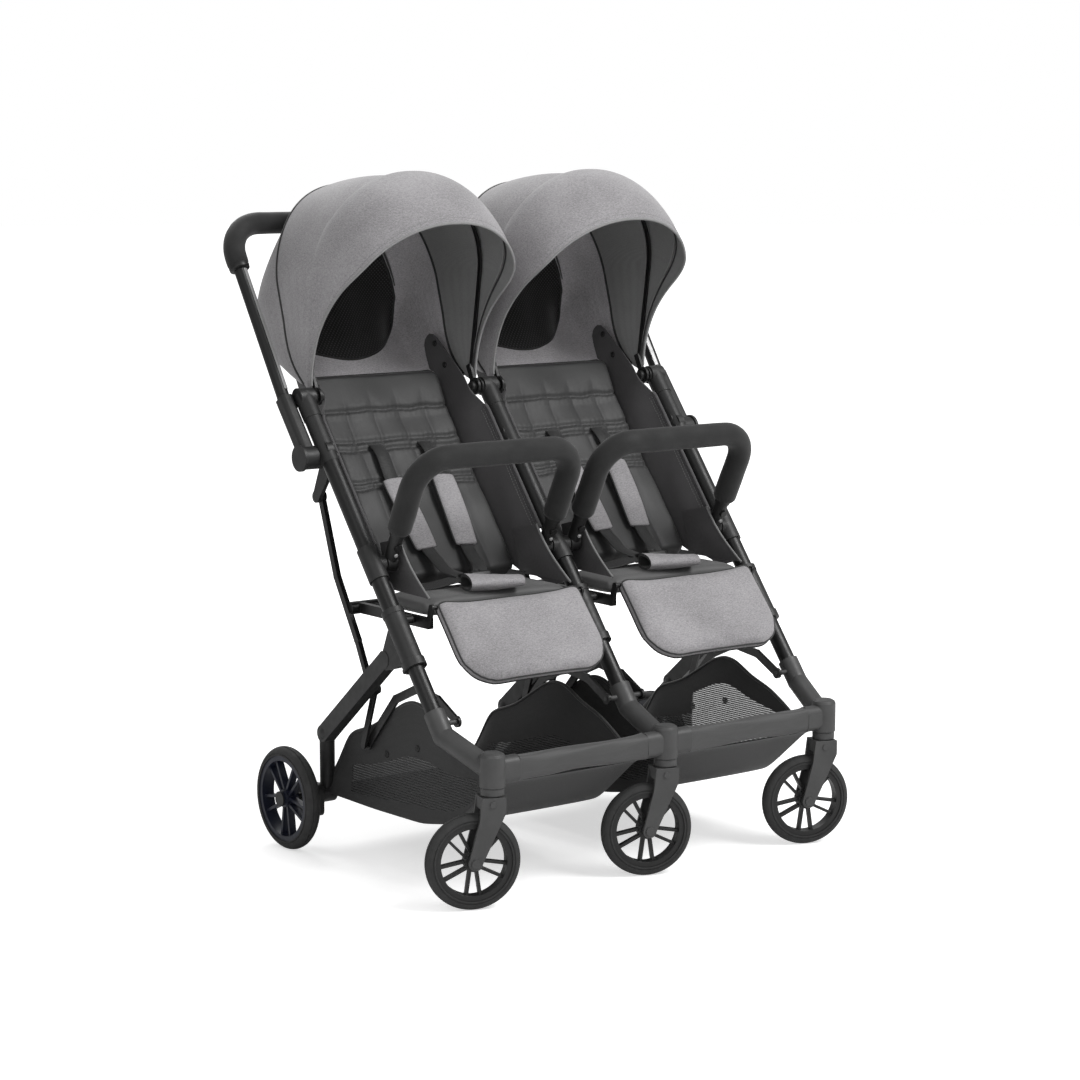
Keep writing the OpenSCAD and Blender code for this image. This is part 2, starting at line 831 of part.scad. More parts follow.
// backrest in the leg frame: board, puffed channels, seams and header
module backrest(m) {
  cells = 5;
  cw = back_w / cells;
  cr = 52;
  rise = cr - sqrt(cr * cr - cw * cw / 4);
  head = 84;
  body = back_len - head;
  color(dark) on_leg() translate([m * xc, back_v, back_s]) {
    difference() {
      union() {
        translate([-back_w / 2, 0, 0]) cube([back_w, back_t, body]);
        for (i = [0:cells - 1])
          intersection() {
            translate([-back_w / 2 + i * cw, -20, 4]) cube([cw, 30, body - 4]);
            translate([-back_w / 2 + (i + 0.5) * cw, cr - rise, 0]) cylinder(h = body, r = cr, $fn = 96);
          }
      }
      for (z = [body - 50, body - 112])
        translate([0, -rise - 2, z])
          rotate([0, 90, 0])
            cylinder(h = back_w + 2, d = 9, center = true);
      // harness slots
      for (d = [-1, 1])
        translate([d * 46 - 15, -20, body - 66]) cube([30, 26, 7]);
    }
    // header leans towards the front
    translate([0, 0, body])
      rotate([9, 0, 0])
        translate([0, 0, -3]) {
          difference() {
            union() {
              translate([0, back_t / 2, (head + 3) / 2])
                rotate([90, 0, 0])
                  linear_extrude(back_t, center = true)
                    pill(back_w, head + 3, 12);
              for (i = [0:cells - 1])
                intersection() {
                  translate([-back_w / 2 + i * cw, -20, 5]) cube([cw, 30, head - 10]);
                  translate([-back_w / 2 + (i + 0.5) * cw, cr - rise, 0]) cylinder(h = head, r = cr, $fn = 96);
                }
            }
            translate([0, -rise - 2, 4])
              rotate([0, 90, 0])
                cylinder(h = back_w + 2, d = 9, center = true);
          }
        }
  }
}
module backrest_left() { backrest(-1); }
module backrest_right() { backrest(1); }

// shoulder straps and pads lying on the backrest
module harness(m) {
  cr = 52;
  cw = back_w / 5;
  rise = cr - sqrt(cr * cr - cw * cw / 4);
  zb = back_s + back_len - 84;
  color(melange) on_leg() translate([m * xc, back_v - rise, 0])
    for (d = [-1, 1]) {
      translate([d * 46, -0.02, zb - 62])
        rotate([0, d * 4, 0])
          translate([0, 0, -168]) {
            translate([0, -4.5, 53])
              rotate([90, 0, 0])
                linear_extrude(9, center = true)
                  pill(44, 122, 5);
            translate([-12.5, -2, -8]) cube([25, 2, 174]);
          }
    }
}
module harness_left() { harness(-1); }
module harness_right() { harness(1); }

// buckle, crotch strap with its pad, and the lap straps, lying on the seat
module buckle(m) {
  color(black) translate([m * xc, 0, seat_z]) {
    difference() {
      translate([0, 250, 14])
        rotate([-14, 0, 0])
          linear_extrude(15, center = true)
            pill(50, 38, 8);
      translate([0, 250, 14])
        rotate([-14, 0, 0])
          translate([0, 0, 2.4])
            cylinder(h = 12, d = 19);
    }
    translate([-12, 196, 3.6])
      rotate([7, 0, 0])
        cube([24, 48, 2.4]);
    for (d = [-1, 1])
      translate([d * 22, 252, 10])
        rotate([0, 0, d * 12])
          rotate([0, d * 3, 0])
            translate([d > 0 ? 0 : -92, -13, 0])
              cube([92, 26, 2.4]);
  }
  color(melange) translate([m * xc, 200, seat_z + 12.5 + seat])
    rotate([0, 0, 8])
      rotate([90, 0, 0])
        linear_extrude(46, center = true)
          pill(88, 25, 12);
}
module buckle_left() { buckle(-1); }
module buckle_right() { buckle(1); }

module buckle_button(m) {
  color(moulded) translate([m * xc, 250, seat_z + 14])
    rotate([-14, 0, 0])
      translate([0, 0, 5])
        cylinder(h = 5, d = 18.2);
}
module buckle_button_left() { buckle_button(-1); }
module buckle_button_right() { buckle_button(1); }

// calf rest: padded flap with round lower corners, a crown and a piped border
module calf_rest(m) {
  cr = 64;
  color(melange) translate([m * xc, calf_y, calf_z])
    rotate([calf_tilt, 0, 0]) {
      difference() {
        rotate([0, 90, 0]) cylinder(h = side_x - 2 * 37, d = 20, center = true);
        rotate([0, 90, 0]) cylinder(h = side_x, d = calf_pin + 2 * run, center = true);
      }
      intersection() {
        translate([0, 0, -calf_t / 2 - 4])
          linear_extrude(calf_t + 8)
            difference() {
              union() {
                translate([-seat_w / 2, -calf_len + cr]) square([seat_w, calf_len - cr - 15]);
                translate([-seat_w / 2 + cr, -calf_len]) square([seat_w - 2 * cr, 60]);
                for (i = [-1, 1])
                  translate([i * (seat_w / 2 - cr), -calf_len + cr]) circle(r = cr);
                translate([-seat_w / 2 + 16, -20]) square([seat_w - 32, 14]);
              }
            }
        translate([0, -calf_len * 0.55, -620 + calf_t / 2 + 2])
          rotate([0, 90, 0])
            cylinder(h = 800, r = 620, center = true, $fn = 180);
        translate([0, 0, -1600 + calf_t / 2 + 3.4])
          rotate([90, 0, 0])
            cylinder(h = 800, r = 1600, center = true, $fn = 240);
        translate([0, -calf_len / 2, 500 - calf_t / 2])
          cube([800, 800, 1000], center = true);
      }
    }
}
module calf_rest_left() { calf_rest(-1); }
module calf_rest_right() { calf_rest(1); }

// Canopies

// arch outline of a canopy: half width w, radius r at the top, start radius r0
module arch2(w, r, rc, r0, t) {
  difference() {
    union() {
      translate([r0, -w]) square([r - rc - r0, 2 * w]);
      translate([r - rc - 1, -w + rc]) square([rc + 1, 2 * (w - rc)]);
      // a round that would reach below the start radius is cut off there
      for (i = [-1, 1])
        intersection() {
          translate([r - rc, i * (w - rc)]) circle(r = rc, $fn = 96);
          translate([r0, -w]) square([r - r0, 2 * w]);
        }
    }
    translate([r0 - 1, -w + t]) square([r - rc - r0 + 1, 2 * (w - t)]);
    translate([r - rc - 2, -w + rc]) square([rc + 2 - t, 2 * (w - rc)]);
    for (i = [-1, 1])
      translate([r - rc, i * (w - rc)]) circle(r = rc - t, $fn = 96);
  }
}

// turn about the hub axis: angle 0 is straight up, positive towards the back
module about_hub(m) {
  translate([m * xc, hub[0], hub[1]])
    rotate([0, -90, 0])
      children();
}

rear_edge = 26;
hood_rc = hood_w - 4;
bow_t = 2.6;
bow_in = hood_t + slip;
bow_w = 8;
// the middle bow stands a little behind the hubs and leans forward
bow_y = 18;
bow_tilt = 9;
rear_in = bow_in + bow_t + 3.6;
// angle of the middle bow as seen from the hub, and the same for both ends of the front panel
function bow_angle(rad) = atan2(bow_y - rad * tan(bow_tilt), rad);
function bow_cover(rad) = 0.5 + 300 / rad;
function ease(t) = let (c = max(0, min(1, t))) c * c * (3 - 2 * c);
function edge_angle(rad) = bow_angle(rad) - bow_cover(rad) - hood_front * ease((rad - 95) / 150);

// the rear bow seen from the side: how far it stands behind the hub at a height above it
function rear_lean(h, top) =
  let (low = 96)
  low * (1 - exp(-h / 42)) + (top * tan(rear_edge) - low) * pow(max(0, h - 110) / (top - 110), 1.2);

// the fixed cloth: from the middle bow to the rear bow, then down to the backrest as a bag
function rear_pt(u, k, w, r, rc, off) =
  let (
    k1 = 5 / 14,
    kk = max(0, (k - k1) / (1 - k1)),
    // the bag starts above the side cloth, so its ends leave the feet of the bow
    p = arch_pt(u + 0.09 * (1 - 2 * u) * ease(kk * 8), w, r, rc, 30),
    low_y = back_top[0] + 34 - off,
    low_z = back_top[1] - 8,
    h = p[0] * cos(rear_edge),
    y = rear_lean(h, r * cos(rear_edge)) - off,
    a0 = bow_angle(p[0]) - 0.5,
    t = min(1, k / k1),
    a = a0 + (atan2(y, h) - a0) * t,
    rad = p[0] + (norm([y, h]) - p[0]) * t,
    by = hub[0] + rad * sin(a),
    bz = hub[1] + rad * cos(a),
    cx = (u - 0.5) * (back_w + 10 - 2 * off),
    cy = low_y - 4 * pow(abs(2 * u - 1), 6),
    side = max(0, min(1, (p[0] - 60) / 130)),
    mid = 1 - 0.4 * max(0, min(1, (p[0] - 230) / 100)),
    sag = sin(180 * pow(kk, 1.4)) * hood_bag * side * mid)
  [p[1] + (cx - p[1]) * kk, by + (cy - by) * kk + sag, bz + (min(low_z, bz) - bz) * kk];

// closes two sheets of points, row length c, into one solid
function shell_faces(nk, nu) =
  let (
    c = nu + 1,
    n = c * (nk + 1),
    quads = concat(
      [for (j = [0:nk - 1], i = [0:nu - 1]) [j * c + i, j * c + i + 1, (j + 1) * c + i + 1, (j + 1) * c + i]],
      [for (j = [0:nk - 1], i = [0:nu - 1])
        [n + j * c + i, n + (j + 1) * c + i, n + (j + 1) * c + i + 1, n + j * c + i + 1]],
      [for (i = [0:nu - 1]) [i, n + i, n + i + 1, i + 1]],
      [for (i = [0:nu - 1]) [nk * c + i, nk * c + i + 1, n + nk * c + i + 1, n + nk * c + i]],
      [for (j = [0:nk - 1]) [j * c, (j + 1) * c, n + (j + 1) * c, n + j * c]],
      [for (j = [0:nk - 1]) [j * c + nu, n + j * c + nu, n + (j + 1) * c + nu, (j + 1) * c + nu]]))
  [for (q = quads, h = [0, 1]) h == 0 ? [q[0], q[1], q[2]] : [q[0], q[2], q[3]]];

module canopy_rear(m) {
  w = hood_w - rear_in;
  r = hood_r - rear_in;
  rc = hood_rc - rear_in;
  nu = 28;
  nk = 14;
  outer = [for (j = [0:nk], i = [0:nu]) rear_pt(i / nu, j / nk, w, r, rc, 0)];
  inner = [for (j = [0:nk], i = [0:nu])
    rear_pt(i / nu, j / nk, w - hood_t, r - hood_t, rc - hood_t, hood_t)];
  color(melange) translate([m * xc, 0, 0])
    polyhedron(points = concat(outer, inner), faces = shell_faces(nk, nu));
}
module canopy_rear_left() { canopy_rear(-1); }
module canopy_rear_right() { canopy_rear(1); }

// points of the arch outline as a function of u from 0 to 1
function arch_pt(u, w, r, rc, r0) =
  let (
    a = r - rc - r0,
    b = rc * PI / 2,
    c = 2 * (w - rc),
    l = 2 * a + 2 * b + c,
    s = u * l)
  s < a ? [r0 + s, -w]
  : s < a + b ? [r - rc + rc * sin((s - a) * 180 / PI / rc), -w + rc - rc * cos((s - a) * 180 / PI / rc)]
  : s < a + b + c ? [r, -w + rc + s - a - b]
  : s < a + 2 * b + c ?
    [r - rc + rc * cos((s - a - b - c) * 180 / PI / rc), w - rc + rc * sin((s - a - b - c) * 180 / PI / rc)]
  : [r - rc - (s - a - 2 * b - c), w];

// how far the front panel stands off its arch between the middle bow and the front edge
function bulge(k, rad) =
  hood_rise * pow(sin(180 * pow(k, 0.6)), 0.9) * max(0, min(1, (rad - 120) / 190))
  - hood_drop * k * k * rad / hood_r;

function front_pt(u, k, off) =
  let (
    p = arch_pt(u, hood_w - off, hood_r - off, hood_rc - off, 30),
    a0 = bow_angle(p[0]) + bow_cover(p[0]),
    a = a0 + (edge_angle(p[0]) - a0) * k,
    rad = p[0] + bulge(k, p[0]))
  [rad * cos(a), rad * sin(a), p[1]];

module canopy_front(m) {
  nu = 30;
  nk = 11;
  outer = [for (j = [0:nk], i = [0:nu]) front_pt(i / nu, j / nk, 0)];
  inner = [for (j = [0:nk], i = [0:nu]) front_pt(i / nu, j / nk, hood_t)];
  color(melange) about_hub(m)
    polyhedron(points = concat(outer, inner), faces = shell_faces(nk, nu));
}
module canopy_front_left() { canopy_front(-1); }
module canopy_front_right() { canopy_front(1); }

// the moving bow of a canopy: a thin arch under the valley of the cloth with hub eyes
module canopy_bow(m) {
  eye_in = hood_w - rear_in + slip;
  eye_out = hood_w - hood_t - 1;
  color(black) about_hub(m)
    difference() {
      union() {
        translate([0, bow_y, 0])
          rotate([0, 0, -bow_tilt])
            rotate([90, 0, 0])
              linear_extrude(bow_w, center = true)
                arch2(hood_w - bow_in, hood_r - bow_in, hood_rc - bow_in, 22, bow_t);
        for (i = [-1, 1])
          translate([0, 0, i * (eye_in + eye_out) / 2]) {
            cylinder(h = eye_out - eye_in - 1, d = 28, center = true);
            // foot that joins the eye to the arch
            rotate([0, 0, atan2(bow_y - 5, 27)])
              translate([11, -5.5, (eye_in - eye_out) / 2])
                cube([27, 11, eye_out - eye_in]);
          }
      }
      cylinder(h = 2 * side_x, d = 16 + 2 * run, center = true);
    }
}
module canopy_bow_left() { canopy_bow(-1); }
module canopy_bow_right() { canopy_bow(1); }

// Basket

module tub(m) {
  x0 = 37;
  x1 = side_x - 37;
  t = basket_t;
  plate(m * x0, m * x1)
    polygon([
      [16, 183], [34, 170], [37, 154], [60, 144], [92, 119], [116, 98], [200, 84], [330, 82],
      [axle_y - 22, axle_z + 1], [axle_y - 22, axle_z + 1 + t], [330, 82 + t], [200, 84 + t],
      [117, 98 + t], [94, 119 + t], [62, 144 + t], [40, 155 + t], [37, 172], [18, 186]]);
  // the tab that is hemmed round the axle, beside the pedal
  plate(m * (x0 + 20), m * side_x * 0.57)
    polygon([
      [axle_y - 24, axle_z + 1], [axle_y - 20, axle_z + 1], [axle_y - 7, axle_z + 8.4],
      [axle_y - 6, axle_z + 8 + t], [axle_y - 20, axle_z + 1 + t], [axle_y - 24, axle_z + 1 + t]]);
  for (x = [x0, x1 - t])
    plate(m * x, m * (x + t))
      polygon([
        [37, 154], [60, 144], [92, 119], [116, 98], [200, 84], [330, 82], [axle_y - 22, axle_z + 2],
        [410, 140], [396, 192], [330, 214], [285, 240], [250, hump_z - 9], [222, hump_z],
        [196, hump_z - 3], [160, hump_z - 22], [110, 232], [60, 204], [37, 180]]);
  pin(m * (x0 + 20), m * side_x * 0.57, [axle_y, axle_z], axle_d + 6);
}

module basket() {
  color(dark) difference() {
    union() {
      tub(-1);
      tub(1);
    }
    pin(-side_x, side_x, [axle_y, axle_z], axle_d + 2 * seat);
  }
}

front_tube_left();
front_tube_centre();
front_tube_right();
rear_leg_left();
rear_leg_centre();
rear_leg_right();
rear_axle();
brake_housings();
strut_frame();
joint_housings();
bumper_mounts();
pivot_caps();
basket();
seat_hammock_left();
seat_hammock_right();
canopy_rear_left();
canopy_rear_right();
buckle_left();
buckle_right();
buckle_button_left();
buckle_button_right();
handle_tube();
handle_grip();
handle_joints();
fold_trigger();
front_legs();
caster_housings();
front_crossbars();
caster_fork_left();
caster_fork_centre();
caster_fork_right();
caster_rim_left();
caster_rim_centre();
caster_rim_right();
caster_tyre_left();
caster_tyre_centre();
caster_tyre_right();
arch_links();
rocker_links();
rear_rim_left();
rear_rim_right();
rear_tyre_left();
rear_tyre_right();
brake_pedal();
bumper_bar_left();
bumper_bar_right();
bumper_grip_left();
bumper_grip_right();
bumper_buttons_left();
bumper_buttons_right();
backrest_left();
backrest_right();
harness_left();
harness_right();
calf_rest_left();
calf_rest_right();
canopy_front_left();
canopy_front_right();
canopy_bow_left();
canopy_bow_right();
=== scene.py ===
"""Side by side double stroller: cloth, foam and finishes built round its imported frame."""

import math

import bpy
import numpy as np
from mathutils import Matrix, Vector
from mathutils.bvhtree import BVHTree


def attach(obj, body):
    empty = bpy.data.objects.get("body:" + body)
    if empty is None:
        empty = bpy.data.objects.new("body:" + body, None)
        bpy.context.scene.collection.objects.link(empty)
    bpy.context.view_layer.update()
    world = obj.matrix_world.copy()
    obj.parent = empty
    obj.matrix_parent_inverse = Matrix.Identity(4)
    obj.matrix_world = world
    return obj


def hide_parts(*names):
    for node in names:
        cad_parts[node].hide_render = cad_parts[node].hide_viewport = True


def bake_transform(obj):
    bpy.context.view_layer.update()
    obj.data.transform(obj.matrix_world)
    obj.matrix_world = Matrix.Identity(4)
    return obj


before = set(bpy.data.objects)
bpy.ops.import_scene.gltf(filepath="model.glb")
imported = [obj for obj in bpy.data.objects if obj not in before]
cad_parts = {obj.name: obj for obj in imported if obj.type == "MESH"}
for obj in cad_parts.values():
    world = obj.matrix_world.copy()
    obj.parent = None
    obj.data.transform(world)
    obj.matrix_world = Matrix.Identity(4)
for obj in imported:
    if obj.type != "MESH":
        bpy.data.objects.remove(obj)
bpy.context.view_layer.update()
scene = bpy.context.scene

MM = 0.001
SEATS = {"left": -1, "right": 1}

# Driving sizes of the frame, in millimetres and degrees
SIDE_X = 350.0
SEAT_X = SIDE_X / 2
LEAN = 38.0
RING = (0.0, 160.0, 336.0)
TUBE_D = 27.0
HUB = (456.75, 715.82)
BACK_W, BACK_LEN, BACK_T, BACK_V, BACK_S = 250.0, 374.0, 28.0, 53.0, 172.0
HEAD = 84.0
SEAT_W, SEAT_FRONT, SEAT_REAR, SEAT_Z = 288.0, 178.0, 301.0, 431.0
CALF = (165.0, 421.0)
CALF_LEN, CALF_T, CALF_TILT, CALF_R = 148.0, 24.0, 50.0, 64.0
HANDLE = (0.0, 477.36, 716.21)
HANDLE_LEAN, HANDLE_W, HANDLE_LEN, HANDLE_R = 32.6, 375.0, 311.0, 62.0
BUMPER = (268.01, 477.50)
BUMPER_LEAN, BUMPER_W, BUMPER_LEN, BUMPER_R = 27.0, 147.0, 185.0, 52.0
HOOD_W, HOOD_R, HOOD_RC, HOOD_RISE = 157.0, 337.0, 153.0, 14.0
HOOD_FRONT, HOOD_DROP, HOOD_REAR = 24.0, 22.0, 26.0
BOW_Y, BOW_TILT = 18.0, 9.0
CROSS_Z, CROSS_X0, CROSS_X1 = 204.0, 43.0, 283.0


# Geometry helpers, all in millimetres


def smooth01(t):
    t = np.clip(t, 0.0, 1.0)
    return t * t * (3 - 2 * t)


def rounded(gap, radius):
    """Rise of a round edge, from 0 at the edge to 1 a radius away from it."""
    return np.sqrt(np.clip(1 - (1 - np.minimum(gap, radius) / radius) ** 2, 0, 1))


def turned(points, origin, degrees):
    """Points turned about the X axis, then moved to origin."""
    p = np.asarray(points, float)
    c, s = math.cos(math.radians(degrees)), math.sin(math.radians(degrees))
    x, y, z = p[..., 0], p[..., 1], p[..., 2]
    return np.stack([x, y * c - z * s, y * s + z * c], -1) + np.asarray(origin, float)


def on_leg(points):
    """Local points (across, behind the front tube, up the tube) as world points."""
    return turned(points, RING, -LEAN)


def arc_length(path):
    return np.concatenate([[0], np.cumsum(np.linalg.norm(np.diff(path, axis=0), axis=1))])


def resample(path, step):
    """The same path with even steps."""
    path = np.asarray(path, float)
    at = arc_length(path)
    n = max(2, int(round(at[-1] / step)) + 1)
    s = np.linspace(0, at[-1], n)
    return np.stack([np.interp(s, at, path[:, i]) for i in range(3)], -1)


def curve(points, step=4.0):
    """A smooth path through a few points."""
    p = np.asarray(points, float)
    t = arc_length(p)
    tangent = np.gradient(p, t, axis=0)
    out = []
    for i in range(len(p) - 1):
        h = t[i + 1] - t[i]
        k = np.linspace(0, 1, max(3, int(h / step)), endpoint=i == len(p) - 2)[:, None]
        out.append(
            (2 * k**3 - 3 * k**2 + 1) * p[i] + (k**3 - 2 * k**2 + k) * h * tangent[i]
            + (3 * k**2 - 2 * k**3) * p[i + 1] + (k**3 - k**2) * h * tangent[i + 1])
    return np.concatenate(out)


def make(name, verts, faces, mats, indices=None, sharp=40.0):
    """A mesh object from points in millimetres."""
    mesh = bpy.data.meshes.new(name)
    mesh.from_pydata((np.asarray(verts, float).reshape(-1, 3) * MM).tolist(), [], faces)
    for mat in mats:
        mesh.materials.append(mat)
    if indices is not None:
        mesh.polygons.foreach_set("material_index", np.asarray(indices, np.int32))
    mesh.polygons.foreach_set("use_smooth", [True] * len(mesh.polygons))
    mesh.set_sharp_from_angle(angle=math.radians(sharp))
    obj = bpy.data.objects.new(name, mesh)
    scene.collection.objects.link(obj)
    return obj


def quads(rows, cols, base=0, wrap=False, flip=False):
    """Faces of a grid of points stored row by row."""
    out = []
    for r in range(rows - 1):
        low, high = base + r * cols, base + (r + 1) * cols
        for c in range(cols if wrap else cols - 1):
            d = (c + 1) % cols
            q = [low + c, low + d, high + d, high + c]
            out.append(q[::-1] if flip else q)
    return out


def tube_faces(rows, cols, flip=False):
    """Faces of a grid that closes on itself, with a flat face at each end."""
    faces = quads(rows, cols, wrap=True)
    faces += [list(range(cols))[::-1], list(range((rows - 1) * cols, rows * cols))]
    return [f[::-1] for f in faces] if flip else faces


def grid_cross(grid):
    """Normals of a grid, as long as the area about each point."""
    return np.cross(np.gradient(grid, axis=1), np.gradient(grid, axis=0))


def two_sided(name, front, back, mats, flip=False, sharp=60.0):
    """A closed skin: the front grid in the first material, the back grid and the rim in the last."""
    rows, cols = front.shape[:2]
    k = rows * cols
    outer = quads(rows, cols, flip=flip)
    inner = quads(rows, cols, k, flip=not flip)
    ids = np.arange(k).reshape(rows, cols)
    ring = np.concatenate([ids[0], ids[1:, -1], ids[-1, -2::-1], ids[-2:0:-1, 0]]).tolist()
    rim = []
    for a, b in zip(ring, ring[1:] + ring[:1]):
        rim.append([a, b, k + b, k + a] if flip else [b, a, k + a, k + b])
    index = [0] * len(outer) + [len(mats) - 1] * (len(inner) + len(rim))
    return make(name, np.concatenate([front, back]), outer + inner + rim, mats, index, sharp)


def shell(name, grid, thick, mats, flip=False):
    """Thin cloth about a grid."""
    n = grid_cross(grid)
    n *= (-thick if flip else thick) / 2 / (np.linalg.norm(n, axis=2, keepdims=True) + 1e-9)
    return two_sided(name, grid + n, grid - n, mats, flip)


def circle(radius, sides=14):
    a = np.linspace(0, 2 * math.pi, sides, endpoint=False)
    return np.stack([radius * np.cos(a), radius * np.sin(a)], -1)


def flat(width, thick):
    """Section of webbing with soft edges."""
    w, t, e = width / 2, thick / 2, min(thick / 2, width / 4) * 0.8
    return np.array([
        [-w, -t + e], [-w + e, -t], [0, -t], [w - e, -t], [w, -t + e],
        [w, t - e], [w - e, t], [0, t], [-w + e, t], [-w, t - e]])


def frames(path, side=None, closed=False):
    """Tangent, side and up vectors along a path."""
    path = np.asarray(path, float)
    if closed:
        t = np.roll(path, -1, 0) - np.roll(path, 1, 0)
    else:
        t = np.gradient(path, axis=0)
    t /= np.linalg.norm(t, axis=1, keepdims=True) + 1e-9
    if side is None:
        start = np.eye(3)[np.argmin(np.abs(t[0]))]
        rows = []
        for d in t:
            start = start - d * (start @ d)
            start = start / np.linalg.norm(start)
            rows.append(start)
        side = np.array(rows)
    else:
        side = np.broadcast_to(np.asarray(side, float), path.shape)
        side = side - t * np.sum(side * t, axis=1, keepdims=True)
        side = side / (np.linalg.norm(side, axis=1, keepdims=True) + 1e-9)
    return t, side, np.cross(t, side)


def sweep(name, path, section, mat, side=None, closed=False, scale=None):
    """Moves a closed section along a path."""
    path = np.asarray(path, float)
    section = np.asarray(section, float)
    _, a, b = frames(path, side, closed)
    grow = np.ones(len(path)) if scale is None else np.asarray(scale, float)
    sec = section[None] * grow[:, None, None]
    rings = path[:, None] + a[:, None] * sec[:, :, :1] + b[:, None] * sec[:, :, 1:]
    n, m = len(path), len(section)
    faces = tube_faces(n, m)
    if closed:
        last = (n - 1) * m
        faces[-2:] = [[last + i, last + (i + 1) % m, (i + 1) % m, i] for i in range(m)]
    return make(name, rings, faces, [mat], sharp=50)


def merge(name, parts):
    """Joins several new objects into one piece."""
    verts, faces, index, mats, base = [], [], [], [], 0
    for obj in parts:
        mesh = obj.data
        remap = []
        for mat in mesh.materials:
            if mat not in mats:
                mats.append(mat)
            remap.append(mats.index(mat))
        verts += [np.array(v.co) / MM for v in mesh.vertices]
        faces += [[base + i for i in p.vertices] for p in mesh.polygons]
        index += [remap[p.material_index] for p in mesh.polygons]
        base += len(mesh.vertices)
        bpy.data.objects.remove(obj)
    return make(name, verts, faces, mats, index)


def revolve(name, profile, centre, axis, mat, sides=20):
    """A turned form: profile of (radius, height) pairs about an axis through centre."""
    axis = np.asarray(axis, float) / np.linalg.norm(axis)
    side = np.cross(axis, np.eye(3)[np.argmin(np.abs(axis))])
    side /= np.linalg.norm(side)
    ring = circle(1.0, sides) @ np.array([side, np.cross(axis, side)])
    rings = [np.asarray(centre, float) + r * ring + h * axis for r, h in profile]
    return make(name, rings, tube_faces(len(profile), sides), [mat], sharp=35)


# Fasteners in section: radius and height, as shares of the outer radius
SNAP = ((1.0, -0.3), (1.0, 0.16), (0.86, 0.3), (0.66, 0.3),
        (0.6, 0.2), (0.42, 0.2), (0.36, 0.34), (0.06, 0.4))
SCREW = ((1.0, -0.3), (1.0, 0.2), (0.8, 0.46), (0.5, 0.56), (0.44, 0.3), (0.06, 0.3))


def studs(name, spots, radius, profile, mat):
    """Round fasteners as one piece: each spot is a centre and the way it faces."""
    shape = [(r * radius, h * radius) for r, h in profile]
    return merge(name, [revolve(f"{name}_{i}", shape, c, n, mat) for i, (c, n) in enumerate(spots)])


def stitches(name, path, mat, side, pitch=5.0, length=3.2, radius=0.5):
    """A row of thread stitches along a path."""
    path = resample(path, pitch)
    t, a, b = frames(path, side)
    half = length / 2
    verts, faces = [], []
    for p, d, u, v in zip(path, t, a, b):
        base = len(verts)
        for k, r in ((-1, 0.3), (-0.6, 1), (0.6, 1), (1, 0.3)):
            for i, j in ((1, 0), (0, 1), (-1, 0), (0, -1)):
                verts.append(p + d * half * k + (u * i + v * j) * r * radius)
        faces += quads(4, 4, base, wrap=True)
        faces += [[base + 3, base + 2, base + 1, base], [base + 12, base + 13, base + 14, base + 15]]
    return make(name, verts, faces, [mat])


def outline(w, y0, y1, r0, r1, n=10):
    """Rectangle about X = 0 from y0 to y1 with corner radii r0 and r1 at those ends."""
    pts = []
    for cx, cy, r, start in (
            (w / 2 - r1, y1 - r1, r1, 0), (-w / 2 + r1, y1 - r1, r1, 90),
            (-w / 2 + r0, y0 + r0, r0, 180), (w / 2 - r0, y0 + r0, r0, 270)):
        for a in np.radians(np.linspace(start, start + 90, n)):
            pts.append([cx + r * math.cos(a), cy + r * math.sin(a)])
    return np.array(pts)


def slab(name, edge, z0, z1, mat):
    """A closed pad blank between two heights with a plan outline."""
    n = len(edge)
    verts = [[x, y, z] for z in (z0, z1) for x, y in edge]
    faces = [list(range(n))[::-1], list(range(n, 2 * n))]
    faces += [[i, (i + 1) % n, n + (i + 1) % n, n + i] for i in range(n)]
    return make(name, verts, faces, [mat])


def points_of(obj):
    co = np.zeros(len(obj.data.vertices) * 3)
    obj.data.vertices.foreach_get("co", co)
    return co.reshape(-1, 3) / MM


def set_points(obj, points):
    obj.data.vertices.foreach_set("co", (np.asarray(points) * MM).ravel())
    obj.data.update()


def evaluated(obj):
    """Applies an object's modifiers to its mesh."""
    mesh = bpy.data.meshes.new_from_object(obj.evaluated_get(bpy.context.evaluated_depsgraph_get()))
    obj.modifiers.clear()
    obj.data = mesh
    mesh.polygons.foreach_set("use_smooth", [True] * len(mesh.polygons))
    return obj


def inflate(obj, voxel, pressure, cap, steps=20):
    """Remeshes a pad blank and blows it up as cloth, each point within cap of its start."""
    mod = obj.modifiers.new("remesh", "REMESH")
    mod.mode = "VOXEL"
    mod.voxel_size = voxel * MM
    evaluated(obj)
    rest = points_of(obj)
    cloth = obj.modifiers.new("cloth", "CLOTH")
    cloth.settings.use_pressure = True
    cloth.settings.uniform_pressure_force = pressure
    cloth.settings.effector_weights.gravity = 0
    cloth.settings.quality = 4
    cloth.point_cache.frame_end = steps
    for f in range(1, steps + 1):
        scene.frame_set(f)
    move = points_of(obj.evaluated_get(bpy.context.evaluated_depsgraph_get())) - rest
    length = np.linalg.norm(move, axis=1, keepdims=True)
    move *= np.minimum(1.0, cap / np.maximum(length, 1e-6))
    obj.modifiers.clear()
    scene.frame_set(1)
    set_points(obj, rest + move)
    relax = obj.modifiers.new("relax", "SMOOTH")
    relax.iterations = 4
    relax.factor = 0.5
    evaluated(obj)
    return obj


def shift(obj, offset):
    """Moves each point of a mesh by a function of its place, in millimetres."""
    p = points_of(obj)
    set_points(obj, p + offset(p))


def soften(obj):
    obj.modifiers.new("soft", "SUBSURF").render_levels = 1
    return obj


